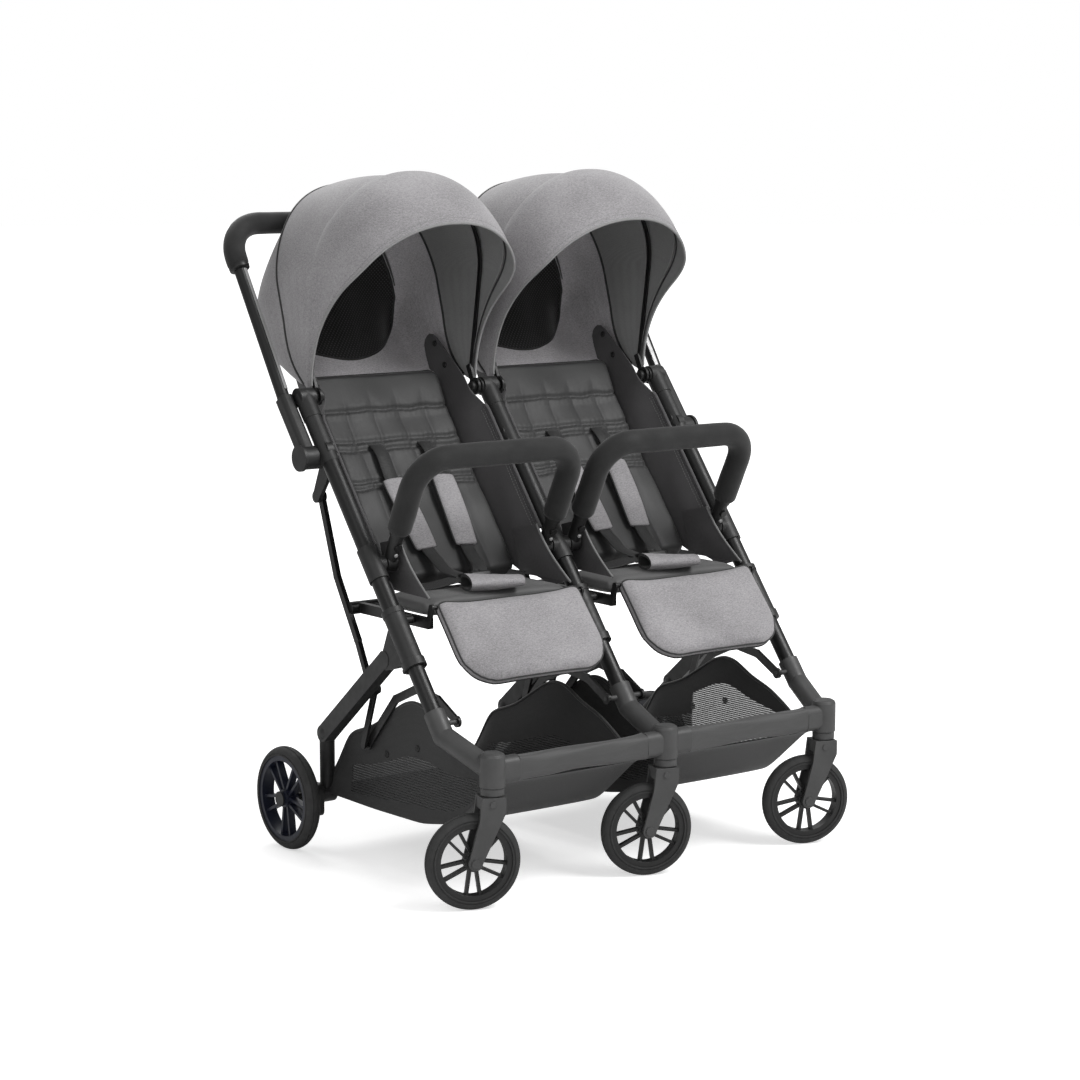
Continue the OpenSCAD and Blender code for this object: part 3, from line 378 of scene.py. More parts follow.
def snapped(path, obj, lift):
    """A path laid on the surface of a piece."""
    tree = BVHTree.FromObject(obj, bpy.context.evaluated_depsgraph_get())
    out = []
    for p in path:
        spot, normal, _, _ = tree.find_nearest(Vector(p) * MM)
        out.append(np.array(spot) / MM + np.array(normal) * lift)
    return np.array(out)


# Materials: colour, roughness and relief all come from procedural nodes


def feed(tree, socket, value):
    """Links a node's output to a socket, or sets the socket's constant."""
    if isinstance(value, bpy.types.NodeSocket):
        tree.links.new(value, socket)
    else:
        socket.default_value = value


def put(tree, kind, props=None, **inputs):
    node = tree.nodes.new("ShaderNode" + kind)
    for key, value in (props or {}).items():
        setattr(node, key, value)
    for key, value in inputs.items():
        feed(tree, node.inputs[key.replace("_", " ")], value)
    return node


def calc(tree, operation, a, b):
    node = put(tree, "Math", {"operation": operation})
    feed(tree, node.inputs[0], a)
    feed(tree, node.inputs[1], b)
    return node.outputs[0]


def weigh(tree, a, b, share):
    """A share of the first value and the rest of the second."""
    return calc(tree, "ADD", calc(tree, "MULTIPLY", a, share), calc(tree, "MULTIPLY", b, 1 - share))


def tint(tone):
    """A grey or a colour as three values."""
    return tone if isinstance(tone, tuple) else (tone,) * 3


def ramp(tree, fac, stops):
    """Colour ramp: stops are (place, grey or colour)."""
    node = put(tree, "ValToRGB", Fac=fac)
    for item, (place, tone) in zip(node.color_ramp.elements, stops):
        item.position = place
        item.color = (*tint(tone), 1.0)
    return node.outputs["Color"]


def mix(tree, fac, a, b, blend="MIX"):
    node = put(tree, "Mix", {"data_type": "RGBA", "blend_type": blend})
    for place, value in ((0, fac), (6, a), (7, b)):
        feed(tree, node.inputs[place], (*value, 1.0) if isinstance(value, tuple) else value)
    return node.outputs[2]


def noise_of(tree, coord, scale, detail=2.0, stretch=None):
    if stretch:
        coord = put(tree, "Mapping", Vector=coord, Scale=stretch).outputs[0]
    return put(tree, "TexNoise", Vector=coord, Scale=scale, Detail=detail).outputs[0]


def wave_of(tree, coord, direction, period, distortion=0.0):
    """Even bands across one axis; period in millimetres."""
    scale = 2 * math.pi / 20 / (period * MM)
    props = {"wave_type": "BANDS", "bands_direction": direction}
    return put(tree, "TexWave", props, Vector=coord, Scale=scale, Distortion=distortion).outputs["Fac"]


def start(name, rough, sheen=0.0, metallic=0.0):
    mat = bpy.data.materials.new(name)
    mat.use_nodes = True
    tree = mat.node_tree
    bsdf = tree.nodes["Principled BSDF"]
    bsdf.inputs["Metallic"].default_value = metallic
    bsdf.inputs["Roughness"].default_value = rough
    if sheen:
        bsdf.inputs["Sheen Weight"].default_value = sheen
        bsdf.inputs["Sheen Roughness"].default_value = 0.45
    coord = put(tree, "TexCoord").outputs["Object"]
    return mat, tree, bsdf, coord


def finish_with(tree, bsdf, colour, rough, height, depth, strength=0.6, normal=None):
    """Links colour, roughness and relief; depth is the relief in millimetres."""
    tree.links.new(colour, bsdf.inputs["Base Color"])
    tree.links.new(rough, bsdf.inputs["Roughness"])
    bump = put(tree, "Bump", Strength=strength, Distance=depth * MM, Height=height)
    if normal is not None:
        tree.links.new(normal, bump.inputs["Normal"])
    tree.links.new(bump.outputs[0], bsdf.inputs["Normal"])


def hard(name, dark, light, rough, grain=1100.0, depth=0.05, wear=None, metallic=0.0, edge=0.9):
    """Painted metal or moulded plastic with fine grain, uneven gloss and rubbed edges."""
    mat, tree, bsdf, coord = start(name, rough[0], metallic=metallic)
    cloud = noise_of(tree, coord, 22.0, 5.0)
    fine = noise_of(tree, coord, grain, 3.0)
    colour = ramp(tree, weigh(tree, cloud, fine, 0.7), ((0.3, dark), (0.7, light)))
    bevel = put(tree, "Bevel", {"samples": 4}, Radius=edge * MM).outputs[0]
    if wear:
        geometry = put(tree, "NewGeometry")
        dot = put(tree, "VectorMath", {"operation": "DOT_PRODUCT"})
        tree.links.new(bevel, dot.inputs[0])
        tree.links.new(geometry.outputs["Normal"], dot.inputs[1])
        rubbed = ramp(tree, dot.outputs["Value"], ((0.72, 0.75), (0.97, 0.0)))
        patchy = calc(tree, "MULTIPLY", rubbed, ramp(tree, cloud, ((0.35, 0.15), (0.7, 1.0))))
        colour = mix(tree, patchy, colour, tint(wear))
    gloss = ramp(tree, noise_of(tree, coord, 90.0, 4.0), ((0.3, rough[0]), (0.7, rough[1])))
    finish_with(tree, bsdf, colour, gloss, fine, depth, 0.5, bevel)
    return mat


def cloth(name, dark, light, rough=0.8, sheen=0.25, thread=0.9, fleck=0.0, depth=0.12, window=None):
    """Woven cloth: crossing threads, heathered flecks, slow colour drift and a net in its window."""
    mat, tree, bsdf, coord = start(name, rough, sheen=sheen)
    waves = [wave_of(tree, coord, d, thread, 0.6) for d in "XYZ"]
    weave = calc(tree, "MULTIPLY", calc(tree, "ADD", waves[0], waves[1]), waves[2])
    along = noise_of(tree, coord, 620.0, 3.0, (0.4, 0.4, 1.6))
    across = noise_of(tree, coord, 620.0, 3.0, (1.6, 1.6, 0.4))
    heather = weigh(tree, along, across, 0.5)
    tone = weigh(tree, heather, noise_of(tree, coord, 9.0, 3.0), 0.75)
    spread = 0.22 - 0.14 * fleck
    colour = ramp(tree, tone, ((0.5 - spread, dark), (0.5 + spread, light)))
    shade = ramp(tree, weave, ((0.0, 0.82), (0.9, 1.0)))
    colour = mix(tree, 1.0, colour, shade, "MULTIPLY")
    height = calc(tree, "ADD", weave, heather)
    gloss = ramp(tree, heather, ((0.3, rough - 0.1), (0.7, min(1.0, rough + 0.1))))
    if window:
        inside = put(tree, "Attribute", {"attribute_name": "window"}).outputs["Fac"]
        mask = calc(tree, "GREATER_THAN", inside, 0.5)
        slant = put(tree, "Mapping", Vector=coord, Rotation=(0.0, math.radians(45), 0.0)).outputs[0]
        holes = calc(tree, "MULTIPLY", wave_of(tree, slant, "X", 4.4), wave_of(tree, slant, "Z", 4.4))
        net = ramp(tree, holes, ((0.3, window), (0.7, 11.0 * window)))
        colour = mix(tree, mask, colour, net)
    finish_with(tree, bsdf, colour, gloss, height, depth)
    return mat


def ribbed(name, dark, light, axis, period, rough=0.6, depth=0.25, clear=None):
    """Webbing or net: bands across one axis, see-through between them where clear is given."""
    mat, tree, bsdf, coord = start(name, rough, sheen=0.15)
    bands = wave_of(tree, coord, axis, period, 0.5)
    fine = noise_of(tree, coord, 700.0, 2.0)
    tone = weigh(tree, bands, fine, 0.7)
    colour = ramp(tree, tone, ((0.2, dark), (0.85, light)))
    gloss = ramp(tree, fine, ((0.3, rough - 0.08), (0.7, rough + 0.1)))
    finish_with(tree, bsdf, colour, gloss, bands, depth)
    if clear is not None:
        tree.links.new(ramp(tree, tone, ((0.3, clear), (0.7, 1.0))), bsdf.inputs["Alpha"])
    return mat


def spongy(name, dark, light):
    """Closed-cell foam: fine pores, dull with a faint sheen."""
    mat, tree, bsdf, coord = start(name, 0.85, sheen=0.2)
    pores = put(tree, "TexVoronoi", Vector=coord, Scale=900.0).outputs["Distance"]
    cloud = noise_of(tree, coord, 30.0, 5.0)
    colour = ramp(tree, weigh(tree, pores, cloud, 0.4), ((0.2, dark), (0.75, light)))
    gloss = ramp(tree, cloud, ((0.3, 0.72), (0.7, 0.92)))
    finish_with(tree, bsdf, colour, gloss, pores, 0.15)
    return mat


NAVY_DARK, NAVY_LIGHT, NAVY_WORN = (0.006, 0.0075, 0.016), (0.011, 0.014, 0.028), (0.03, 0.034, 0.05)
TUBE = hard("tube_paint", 0.003, 0.006, (0.34, 0.46), wear=(0.04, 0.04, 0.041))
MOULD = hard("moulded_grey", 0.013, 0.021, (0.42, 0.56), grain=1500.0, depth=0.07, wear=0.07)
HOUSING = hard("housing_grey", 0.045, 0.066, (0.42, 0.55), grain=1500.0, depth=0.07, wear=0.09)
BLACK = hard("black_plastic", 0.004, 0.009, (0.36, 0.5), grain=1500.0, wear=0.03)
LINK = hard("link_black", 0.005, 0.011, (0.28, 0.42), wear=0.05)
RIM = hard("rim_black", 0.007, 0.014, (0.38, 0.5), grain=1500.0, wear=0.04)
RIM_REAR = hard("rim_navy", NAVY_DARK, NAVY_LIGHT, (0.34, 0.48), wear=NAVY_WORN)
TYRE = hard("tyre_rubber", 0.020, 0.032, (0.66, 0.84), grain=800.0, depth=0.09, wear=0.06)
STRIP = hard("bright_strip", 0.34, 0.44, (0.3, 0.42), grain=600.0, metallic=0.3)
FOAM = spongy("grip_foam", 0.008, 0.015)
MELANGE = cloth("melange", (0.17, 0.165, 0.17), (0.48, 0.465, 0.48), fleck=0.4, window=0.004)
# lighter copy of the melange for the back panel's inner faces: painted light for light through the cloth
MELANGE_PAINTED_LIGHT = cloth("melange_painted_light", (0.34, 0.33, 0.34), (0.84, 0.81, 0.84), fleck=0.4, window=0.005)
PADDING = cloth("melange_pad", (0.17, 0.165, 0.17), (0.47, 0.455, 0.47), fleck=0.4)
LINING = cloth("canopy_lining", 0.22, 0.36, rough=0.72, window=0.005)
SATIN = cloth("quilt_satin", 0.026, 0.042, rough=0.55, sheen=0.12, thread=0.6, depth=0.04)
SEAT_CLOTH = cloth("seat_satin", 0.075, 0.115, rough=0.6, sheen=0.3, thread=0.6, depth=0.04)
PANEL = cloth("side_panel", (0.052, 0.050, 0.052), (0.086, 0.083, 0.086), rough=0.7, thread=0.7, depth=0.06)
SLEEVE = cloth("sleeve_cloth", 0.044, 0.070, rough=0.6, thread=0.7, depth=0.05)
BASKET = cloth("basket_cloth", 0.013, 0.024, rough=0.7, thread=0.8, depth=0.06)
NET = ribbed("basket_net", 0.006, 0.028, "Z", 4.0, clear=0.8)
# lighter, clearer copy of the net: painted light coming through the far wall
NET_PAINTED_LIGHT = ribbed("basket_net_painted_light", 0.03, 0.20, "Z", 3.4, clear=0.45)
WEBBING = ribbed("webbing", 0.006, 0.018, "Y", 1.6)
PIPING = cloth("piping", 0.014, 0.026, rough=0.6, thread=0.7, depth=0.05)
BINDING = cloth("binding", 0.20, 0.36, rough=0.75, thread=0.7, depth=0.05)
THREAD = cloth("thread", 0.16, 0.26, rough=0.6, thread=0.5, depth=0.03)


def finish_piece(obj, body="main_frame", replaces=()):
    """A piece that rides on one body."""
    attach(obj, body)
    if replaces:
        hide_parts(*replaces)
    return obj


def trim(name, path, section, mat, body="main_frame", **ways):
    """Piping, tape or a bead along a path, riding on one body."""
    return finish_piece(sweep(name, path, section, mat, **ways), body)


# Finishes of the CAD nodes that show as they are

CAD_FINISH = {
    TUBE: ("front_tube", "handle_tube", "front_legs", "rear_axle", "strut_frame"),
    MOULD: ("rear_leg", "joint_housings", "bumper_mounts", "pivot_caps", "handle_joints", "brake"),
    HOUSING: ("caster_housings", "caster_fork"),
    BLACK: ("bumper_bar", "bumper_buttons", "canopy_bow", "fold_trigger", "buckle_button"),
    LINK: ("arch_links", "rocker_links"),
    RIM: ("caster_rim",),
    RIM_REAR: ("rear_rim",),
    TYRE: ("caster_tyre", "rear_tyre"),
}
for finish, starts in CAD_FINISH.items():
    for node_name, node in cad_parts.items():
        if node_name.startswith(starts):
            node.data.materials.clear()
            node.data.materials.append(finish)


# Canopies: one continuous sheet each, from the hem behind the backrest to the visor edge


def arch(u, w, r, rc, r0=16.0):
    """Radius from the hub and place across, for u from 0 to 1 along a canopy arch."""
    a, b, c = r - rc - r0, rc * math.pi / 2, 2 * (w - rc)
    s = u * (2 * a + 2 * b + c)
    turn_in, turn_out = (s - a) / rc, (s - a - b - c) / rc
    steps = [s < a, s < a + b, s < a + b + c, s < a + 2 * b + c]
    rad = [r0 + s, r - rc + rc * np.sin(turn_in), r + 0 * s, r - rc + rc * np.cos(turn_out)]
    across = [
        -w + 0 * s, -w + rc - rc * np.cos(turn_in), -w + rc + s - a - b, w - rc + rc * np.sin(turn_out)]
    return np.select(steps, rad, r - rc - (s - a - 2 * b - c)), np.select(steps, across, w + 0 * s)


def about_hub(rad, degrees, x):
    a = np.radians(degrees)
    return np.stack([x, HUB[0] + rad * np.sin(a), HUB[1] + rad * np.cos(a)], -1)


REAR_W, REAR_R, REAR_RC = 153.0, 333.0, 149.0
# The rear bow springs back from the hub, leans back above its knee and lifts at the top
REAR_BACK, REAR_SPRING, REAR_KNEE, REAR_LIFT = 96.0, 42.0, 110.0, 23.0
HEM_Y, HEM_Z = 561.06, 732.84
BAG_DEPTH, CHEEK_DEPTH, CHEEK_RAD, CHEEK_SPAN = 64.0, 28.0, 220.0, 90.0
TOP_H = REAR_R * math.cos(math.radians(HOOD_REAR))


def bow_angle(rad):
    """Angle of the middle bow seen from the hub: it stands behind the hub and leans forward."""
    return np.degrees(np.arctan2(BOW_Y - rad * math.tan(math.radians(BOW_TILT)), rad))


def valley_angle(rad):
    return bow_angle(rad) + 0.5 + 300.0 / rad + 2.0 * smooth01((rad - 60.0) / 200.0)


def visor_angle(rad):
    return bow_angle(rad) - 0.5 - 300.0 / rad - HOOD_FRONT * smooth01((rad - 30.0) / 230.0)


def rear_bow(u):
    """Rear bow from the hub: radius along it, place across, how far back and how high."""
    rad, x = arch(u, REAR_W, REAR_R, REAR_RC)
    h = rad * math.cos(math.radians(HOOD_REAR))
    lean = TOP_H * math.tan(math.radians(HOOD_REAR)) - REAR_BACK
    above = np.clip((h - REAR_KNEE) / (TOP_H - REAR_KNEE), 0, None)
    y = REAR_BACK * (1 - np.exp(-h / REAR_SPRING)) + lean * above**1.2
    return rad, x, y, h + REAR_LIFT * smooth01((rad - 190) / 140)


def canopy_back(u, kk):
    """Back panel: kk from the rear bow (0) down to the hem behind the header (1)."""
    rad, x, y, h = rear_bow(u + 0.015 * (1 - 2 * u) * smooth01(kk * 8))
    # the hem's ends wrap round outside the side panels towards the hubs
    end = np.abs(2 * u - 1)
    low_x = np.sign(u - 0.5) * (130 * end + 20 * end**8)
    low_y = HEM_Y - 60 * end**12
    side = smooth01((rad - 20) / 130)
    crease = 2.2 * np.sin(u * 41 + 3 * kk) * side
    cheek = CHEEK_DEPTH * np.exp(-(((rad - CHEEK_RAD) / CHEEK_SPAN) ** 2))
    sag = np.sin(math.pi * kk) * (BAG_DEPTH * side + cheek + crease)
    y, z = HUB[0] + y, HUB[1] + h
    low_z = np.minimum(HEM_Z, z)
    return np.stack([x + (low_x - x) * kk**2, y + (low_y - y) * kk + sag, z + (low_z - z) * kk], -1)


def canopy_mid(u, t):
    """Panel between the valley at the middle bow (0) and the rear bow (1)."""
    rad, x = arch(u, HOOD_W, HOOD_R, HOOD_RC)
    _, far_x, far_y, far_h = rear_bow(u)
    a = valley_angle(rad)
    a = a + (np.degrees(np.arctan2(far_y, far_h)) - a) * t
    high = np.clip((rad - 150) / 180, 0, 1)
    out = -3 * math.sin(math.pi * t) * high - 4 * math.exp(-((t / 0.16) ** 2)) * high
    return about_hub(rad + (np.hypot(far_y, far_h) - rad) * t + out, a, x + (far_x - x) * t)


def canopy_front(u, k, inset=0.0):
    """Front panel: k from the valley (0) over the hump to the visor edge (1)."""
    rad, x = arch(u, HOOD_W - inset, HOOD_R - inset, HOOD_RC - inset)
    a = valley_angle(rad)
    a = a + (visor_angle(rad) - a) * k
    high = np.clip((rad - 150) / 180, 0, 1)
    hump = HOOD_RISE * np.sin(math.pi * np.clip(k, 0, 1) ** 0.6) ** 0.9 * np.clip((rad - 120) / 190, 0, 1)
    hump = hump - 4 * np.exp(-((k / 0.1) ** 2)) * high - HOOD_DROP * k * k * rad / HOOD_R
    return about_hub(rad + hump, a, x)


def canopy_moves(obj):
    """Bakes the piece's placement into its mesh."""
    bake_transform(obj)


WINDOW_W, WINDOW_TOP, WINDOW_CORNER, WINDOW_DEEP = 132.0, 0.15, 0.40, 0.52
BACK_ROWS = 40


def window_top(x):
    """Upper edge of the mesh window on the back panel, at a place across."""
    return WINDOW_TOP + (WINDOW_CORNER - WINDOW_TOP) * (x / WINDOW_W) ** 2


def window_low(x):
    return WINDOW_CORNER + WINDOW_DEEP * np.sqrt(np.clip(1 - (x / WINDOW_W) ** 2, 0, 1))


def on_back(x, kk):
    """Points of the back panel at places across and down it."""
    u = np.linspace(0, 1, 281)
    out = []
    for a, b in zip(x, kk):
        line = canopy_back(u, b)
        out.append([np.interp(a, line[:, 0], line[:, i]) for i in range(3)])
    return np.array(out)


def canopy(seat, m):
    u = np.linspace(0, 1, 141)
    down = np.linspace(1, 0, BACK_ROWS + 1)[:-1]
    rows = [canopy_back(u, kk) for kk in down]
    rows += [canopy_mid(u, t) for t in np.linspace(1, 0, 22)[:-1]]
    rows += [canopy_front(u, k) for k in np.linspace(0, 1, 40) ** 1.25]
    grid = np.array(rows)
    within = np.zeros(grid.shape[:2])
    for r, kk in enumerate(down):
        x = grid[r, :, 0]
        inside = np.minimum(kk - window_top(x), window_low(x) - kk)
        within[r] = np.clip(0.5 + 12 * np.where(np.abs(x) < WINDOW_W, inside, -1), 0, 1)
    off = np.array([m * SEAT_X, 0, 0])
    grid = grid + off
    sheet = shell(f"canopy_cloth_{seat}", grid, 2.0, [MELANGE, MELANGE_PAINTED_LIGHT, LINING], flip=True)
    # the back panel is unlined; its inner faces take a lighter copy of the melange, painted light for light
    # coming through the cloth
    side_faces = (grid.shape[0] - 1) * (grid.shape[1] - 1)
    for i in range(side_faces, side_faces + BACK_ROWS * (grid.shape[1] - 1)):
        sheet.data.polygons[i].material_index = 1
    mark = sheet.data.attributes.new("window", "FLOAT", "POINT")
    mark.data.foreach_set("value", np.concatenate([within.ravel()] * 2).astype(np.float32))
    canopy_moves(sheet)
    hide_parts(f"canopy_front_{seat}", f"canopy_rear_{seat}")
    fine = np.linspace(0.004, 0.996, 140)
    edge = sweep(f"visor_binding_{seat}", canopy_front(fine, 1.0) + off, circle(2.1, 8), BINDING)
    canopy_moves(edge)
    row = canopy_front(fine, 0.95, -1.4) + off
    canopy_moves(stitches(f"visor_stitch_{seat}", row, THREAD, (0, -1, 0.4), radius=0.35))
    trim(f"rear_bow_piping_{seat}", canopy_mid(fine, 1.0) + off, circle(2.9, 8), PIPING)
    for i, k in enumerate((0.03, 0.09, 0.72, 0.78)):
        row = canopy_front(fine, k, 3.0) + off
        mat = PIPING if i % 2 else LINING
        canopy_moves(sweep(f"lining_seam_{seat}_{i}", row, circle(1.3, 6), mat))
    # the window flap is rolled up inside, above a dark tape along the window's upper edge
    x = np.linspace(-98, 98, 110)
    forward = np.array([0, -9.0, 0])
    roll = on_back(x, window_top(x) - 0.10) * np.array([0.95, 1, 1]) + forward + off
    ripple = 1 + 0.14 * np.sin(x * 0.72) + 0.1 * np.sin(x * 0.27)
    oval = circle(4.8, 10) * np.array([1.0, 1.7])
    trim(f"window_roll_{seat}", roll, oval, PIPING, side=(0, 1, 0), scale=ripple)
    x = np.linspace(-WINDOW_W + 4, WINDOW_W - 4, 90)
    tape = on_back(x, window_top(x) - 0.03) * np.array([0.985, 1, 1]) + 0.4 * forward + off
    trim(f"window_tape_{seat}", tape, flat(10.0, 1.6), PANEL, side=(0, 0.3, 1))
    x = WINDOW_W * np.cos(np.linspace(0, math.pi, 70))
    rim = np.concatenate([on_back(x, window_low(x)), on_back(-x[1:], window_top(-x[1:]))])
    rim = resample(rim, 7.0)[:-1]
    trim(f"window_binding_{seat}", rim + off, flat(5.0, 3.4), PIPING, side=(1, 0, 1), closed=True)


for seat, m in SEATS.items():
    canopy(seat, m)


# Seats: quilted backrests, side panels with their tongues, seat bases, calf rests

QUILT_CELLS = 5
QUILT_RISE = 6.4
SEAMS = (308.0, 252.0, 236.0, 178.0, 166.0)


def backrest(seat, m):
    """Quilted pad: puffed cells between sewn lines, a header that leans forward."""
    nx, ns = 101, 151
    x = np.linspace(-BACK_W / 2, BACK_W / 2, nx)
    s = np.linspace(0, BACK_LEN, ns)
    xx, ss = np.meshgrid(x, s)
    cell = BACK_W / QUILT_CELLS
    phase = ((xx + BACK_W / 2) / cell) % 1.0
    puff = QUILT_RISE * (1 - np.abs(2 * phase - 1) ** 3) * 0.42 + 3.2
    for i, seam in enumerate(SEAMS):
        wavy = seam + 0.9 * np.cos(2 * math.pi * phase) + 0.7 * np.sin(xx * 0.11 + i)
        near = np.exp(-(((ss - wavy) / 3.6) ** 2))
        pucker = 0.35 * np.sin(xx * 0.62 + i * 2) * np.exp(-(((ss - wavy) / 11) ** 2))
        puff = puff - 3.8 * near + pucker
    # the header above the top seam is smooth
    plain = smooth01((ss - SEAMS[0]) / 40)
    puff = puff * (1 - plain) + 5.4 * plain
    puff += 1.2 * np.sin(xx * 0.045 + ss * 0.03) + 0.7 * np.sin(ss * 0.083 - xx * 0.02)
    corner = 14.0
    dx = BACK_W / 2 - np.abs(xx)
    ds = np.minimum(ss, BACK_LEN - ss)
    inner = np.minimum(dx, ds)
    both = (dx < corner) & (ds < corner)
    inner = np.where(both, corner - np.hypot(corner - dx, corner - ds), inner)
    roll = rounded(np.clip(inner, 0, None), 11.0)
    pull = np.where(both, np.clip((np.hypot(corner - dx, corner - ds) - corner) / corner, 0, 1), 0)
    px = xx - np.sign(xx) * pull * 4.0
    ps = ss + np.sign(BACK_LEN / 2 - ss) * pull * 4.0
    front = BACK_T / 2 - (BACK_T / 2 + puff) * roll
    back = BACK_T / 2 + (BACK_T / 2 - 1) * roll

    def bent(depth):
        body = BACK_LEN - HEAD
        tilt = math.radians(9.0) * smooth01((ps - body + 12) / 24)
        over = np.clip(ps - body, 0, None)
        v = depth * np.cos(tilt) - over * np.sin(tilt)
        up = np.where(ps > body, body + over * np.cos(tilt), ps) + depth * np.sin(tilt) * 0.6
        return on_leg(np.stack([px + m * SEAT_X, v + BACK_V, up + BACK_S], -1))

    pad = two_sided(f"backrest_pad_{seat}", bent(front), bent(back), [SATIN, PANEL], sharp=70)
    finish_piece(pad, f"backrest_{seat}", (f"backrest_{seat}",))
    rim = bent(np.full_like(xx, BACK_T / 2 - 3))
    ring = np.concatenate([rim[20:, 0], rim[-1, 1:-1], rim[:19:-1, -1]])
    ring = curve(resample(ring, 22.0), 6.0)
    mid = bent(np.full_like(xx, BACK_T / 2))[ns // 2, nx // 2]
    ring = ring + (ring - mid) / np.linalg.norm(ring - mid, axis=1, keepdims=True) * 1.2
    trim(f"backrest_piping_{seat}", ring, circle(2.6, 8), PIPING, f"backrest_{seat}")


PANEL_OUT = SEAT_X - TUBE_D / 2 - 4.2
PANEL_IN = BACK_W / 2 + 4.0
PANEL_V = BACK_V + 14.0
PANEL_LOW_Q, PANEL_LOW_S = (0, 0.3, 0.55, 1), (112, 118, 150, 190)
LEAVE_S, LEAVE_SPAN, LEAVE_IN = 436.0, 45.0, 19.0
MOUNT_S, MOUNT_SPAN = 178.0, 26.0
WING_LOW = np.array([[134.0, 182, 432], [127, 301, 432]])
WING_TOP = np.array([[131.0, 266, 514], [126, 322, 500]])
TONGUE_Q = (0.0, 0.1, 0.2, 0.3, 0.36, 0.45, 0.55, 0.65, 0.76, 0.84, 0.92, 1.0)
TONGUE_S = (500.0, 536.0, 566.0, 592.0, 602.0, 607.0, 607.0, 605.0, 598.0, 582.0, 558.0, 524.0)


def panel_point(q, s, d, m, puff=0.0):
    """Side panel: q from the front tube (0) to the backrest edge (1), s up the tube, d the side."""
    q, s = np.broadcast_arrays(q, s)
    wave = np.sin(math.pi * np.clip(q, 0, 1)) * (3.5 + 1.6 * np.sin(s * 0.028 + 3 * q))
    # above the bumper the edge leaves the tube and passes inside the hub pin
    leave = smooth01((s - LEAVE_S) / LEAVE_SPAN)
    edge = PANEL_OUT - LEAVE_IN * leave
    x = edge + (PANEL_IN - edge) * q - wave * (1 - 0.6 * leave) - puff
    return on_leg(np.stack([m * SEAT_X + d * x, PANEL_V * q, s], -1))


def side_panel(seat, m, d, label):
    q = np.linspace(0, 1, 45)[None, :]
    t = np.linspace(0, 1, 81)[:, None]
    low = np.interp(q, PANEL_LOW_Q, PANEL_LOW_S)
    # the panel runs on past the hub as a tongue with a round top
    high = np.interp(q, TONGUE_Q, TONGUE_S)
    s = low + (high - low) * t
    # the edge at the tube is cut back round the bumper mount
    q = q + (1 - q) * 0.30 * np.exp(-(((s - MOUNT_S) / MOUNT_SPAN) ** 4))
    grid = panel_point(q, s, d, m)
    piece = shell(f"side_panel_{seat}_{label}", grid, 1.8, [PANEL], flip=d > 0)
    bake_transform(piece)
    behind = on_leg([0, 1, 0]) - on_leg([0, 0, 0])
    for i, at in enumerate((0.07, 0.13)):
        row = panel_point(at, np.linspace(214, 440, 60), d, m, 1.3)
        finish_piece(stitches(f"panel_stitch_{seat}_{label}_{i}", row, THREAD, behind, radius=0.45))
    bead = panel_point(0.0, np.linspace(212, 447, 60), d, m)
    trim(f"panel_bead_{seat}_{label}", bead, circle(3.4, 10), PANEL)
    # two press studs on the tongue
    spots = [(panel_point(a, b, d, m, 0.9), (-d, 0, 0)) for a, b in ((0.42, 586.0), (0.40, 543.0))]
    snaps = studs(f"tongue_snaps_{seat}_{label}", spots, 5.0, SNAP, BLACK)
    finish_piece(snaps, "main_frame")
    # wing at the front corner of the seat, below the bumper
    a = np.linspace(0, 1, 25)[:, None, None]
    b = np.linspace(0, 1, 15)[None, :, None]
    ends = WING_LOW * (1 - a) + WING_TOP * a
    wing = ends[:, :1] * (1 - b) + ends[:, 1:] * b
    wing[..., 0] -= (4 * np.sin(math.pi * a) * np.sin(math.pi * b))[..., 0]
    wing[..., 1] += (9 * np.sin(math.pi * a) * (1 - b))[..., 0]
    wing[..., 0] = m * SEAT_X + d * wing[..., 0]
    piece = finish_piece(shell(f"seat_wing_{seat}_{label}", wing, 2.0, [PANEL], flip=d > 0))
    rim = wing[:, 0] + np.array([d * -0.6, -0.6, 0])
    trim(f"wing_binding_{seat}_{label}", rim, circle(1.7, 8), THREAD)


def seat_base(seat, m):
    """Satin seat pad with a low crown and a rolled front edge."""
    edge = outline(SEAT_W - 14, SEAT_FRONT + 6, SEAT_REAR - 4, 16, 8)
    pad = slab(f"seat_base_{seat}", edge, 409.0, 425.0, SEAT_CLOTH)
    inflate(pad, 5.0, 3.0, 6.0)
    shift(pad, lambda p: np.stack([0 * p[:, 0], 0 * p[:, 0], -2.2 * (p[:, 0] / 144) ** 2], -1)
          + np.array([m * SEAT_X, 0, 0]))
    soften(pad)
    finish_piece(pad, "main_frame", (f"seat_hammock_{seat}",))


def calf_rest(seat, m):
    """Melange pad with a piped gusset and large round lower corners."""
    origin = (m * SEAT_X, *CALF)
    edge = outline(SEAT_W - 10, -CALF_LEN + 5, 6, CALF_R - 4, 10, 14)
    pad = slab(f"calf_pad_{seat}", edge, -CALF_T / 2 + 3, CALF_T / 2 - 3, PADDING)
    inflate(pad, 5.0, 3.5, 6.0)

    def crown(p):
        lift = 3.0 * (1 - (p[:, 0] / 144) ** 2) * np.clip(p[:, 2] / 12, 0, 1)
        return np.stack([0 * lift, 0 * lift, lift], -1)

    shift(pad, crown)
    set_points(pad, turned(points_of(pad), origin, CALF_TILT))
    soften(pad)
    finish_piece(pad, f"calf_rest_{seat}", (f"calf_rest_{seat}",))
    ring = outline(SEAT_W - 1, -CALF_LEN + 0.5, 4, CALF_R, 10, 24)
    for i, z in enumerate((9.0, -9.0)):
        path = np.concatenate([ring, np.full((len(ring), 1), z)], 1)
        path = turned(resample(np.concatenate([path, path[:1]]), 7.0)[:-1], origin, CALF_TILT)
        path = snapped(path, pad, 0.4)
        trim(f"calf_piping_{seat}_{i}", path, circle(1.5, 6), PIPING, f"calf_rest_{seat}", closed=True)


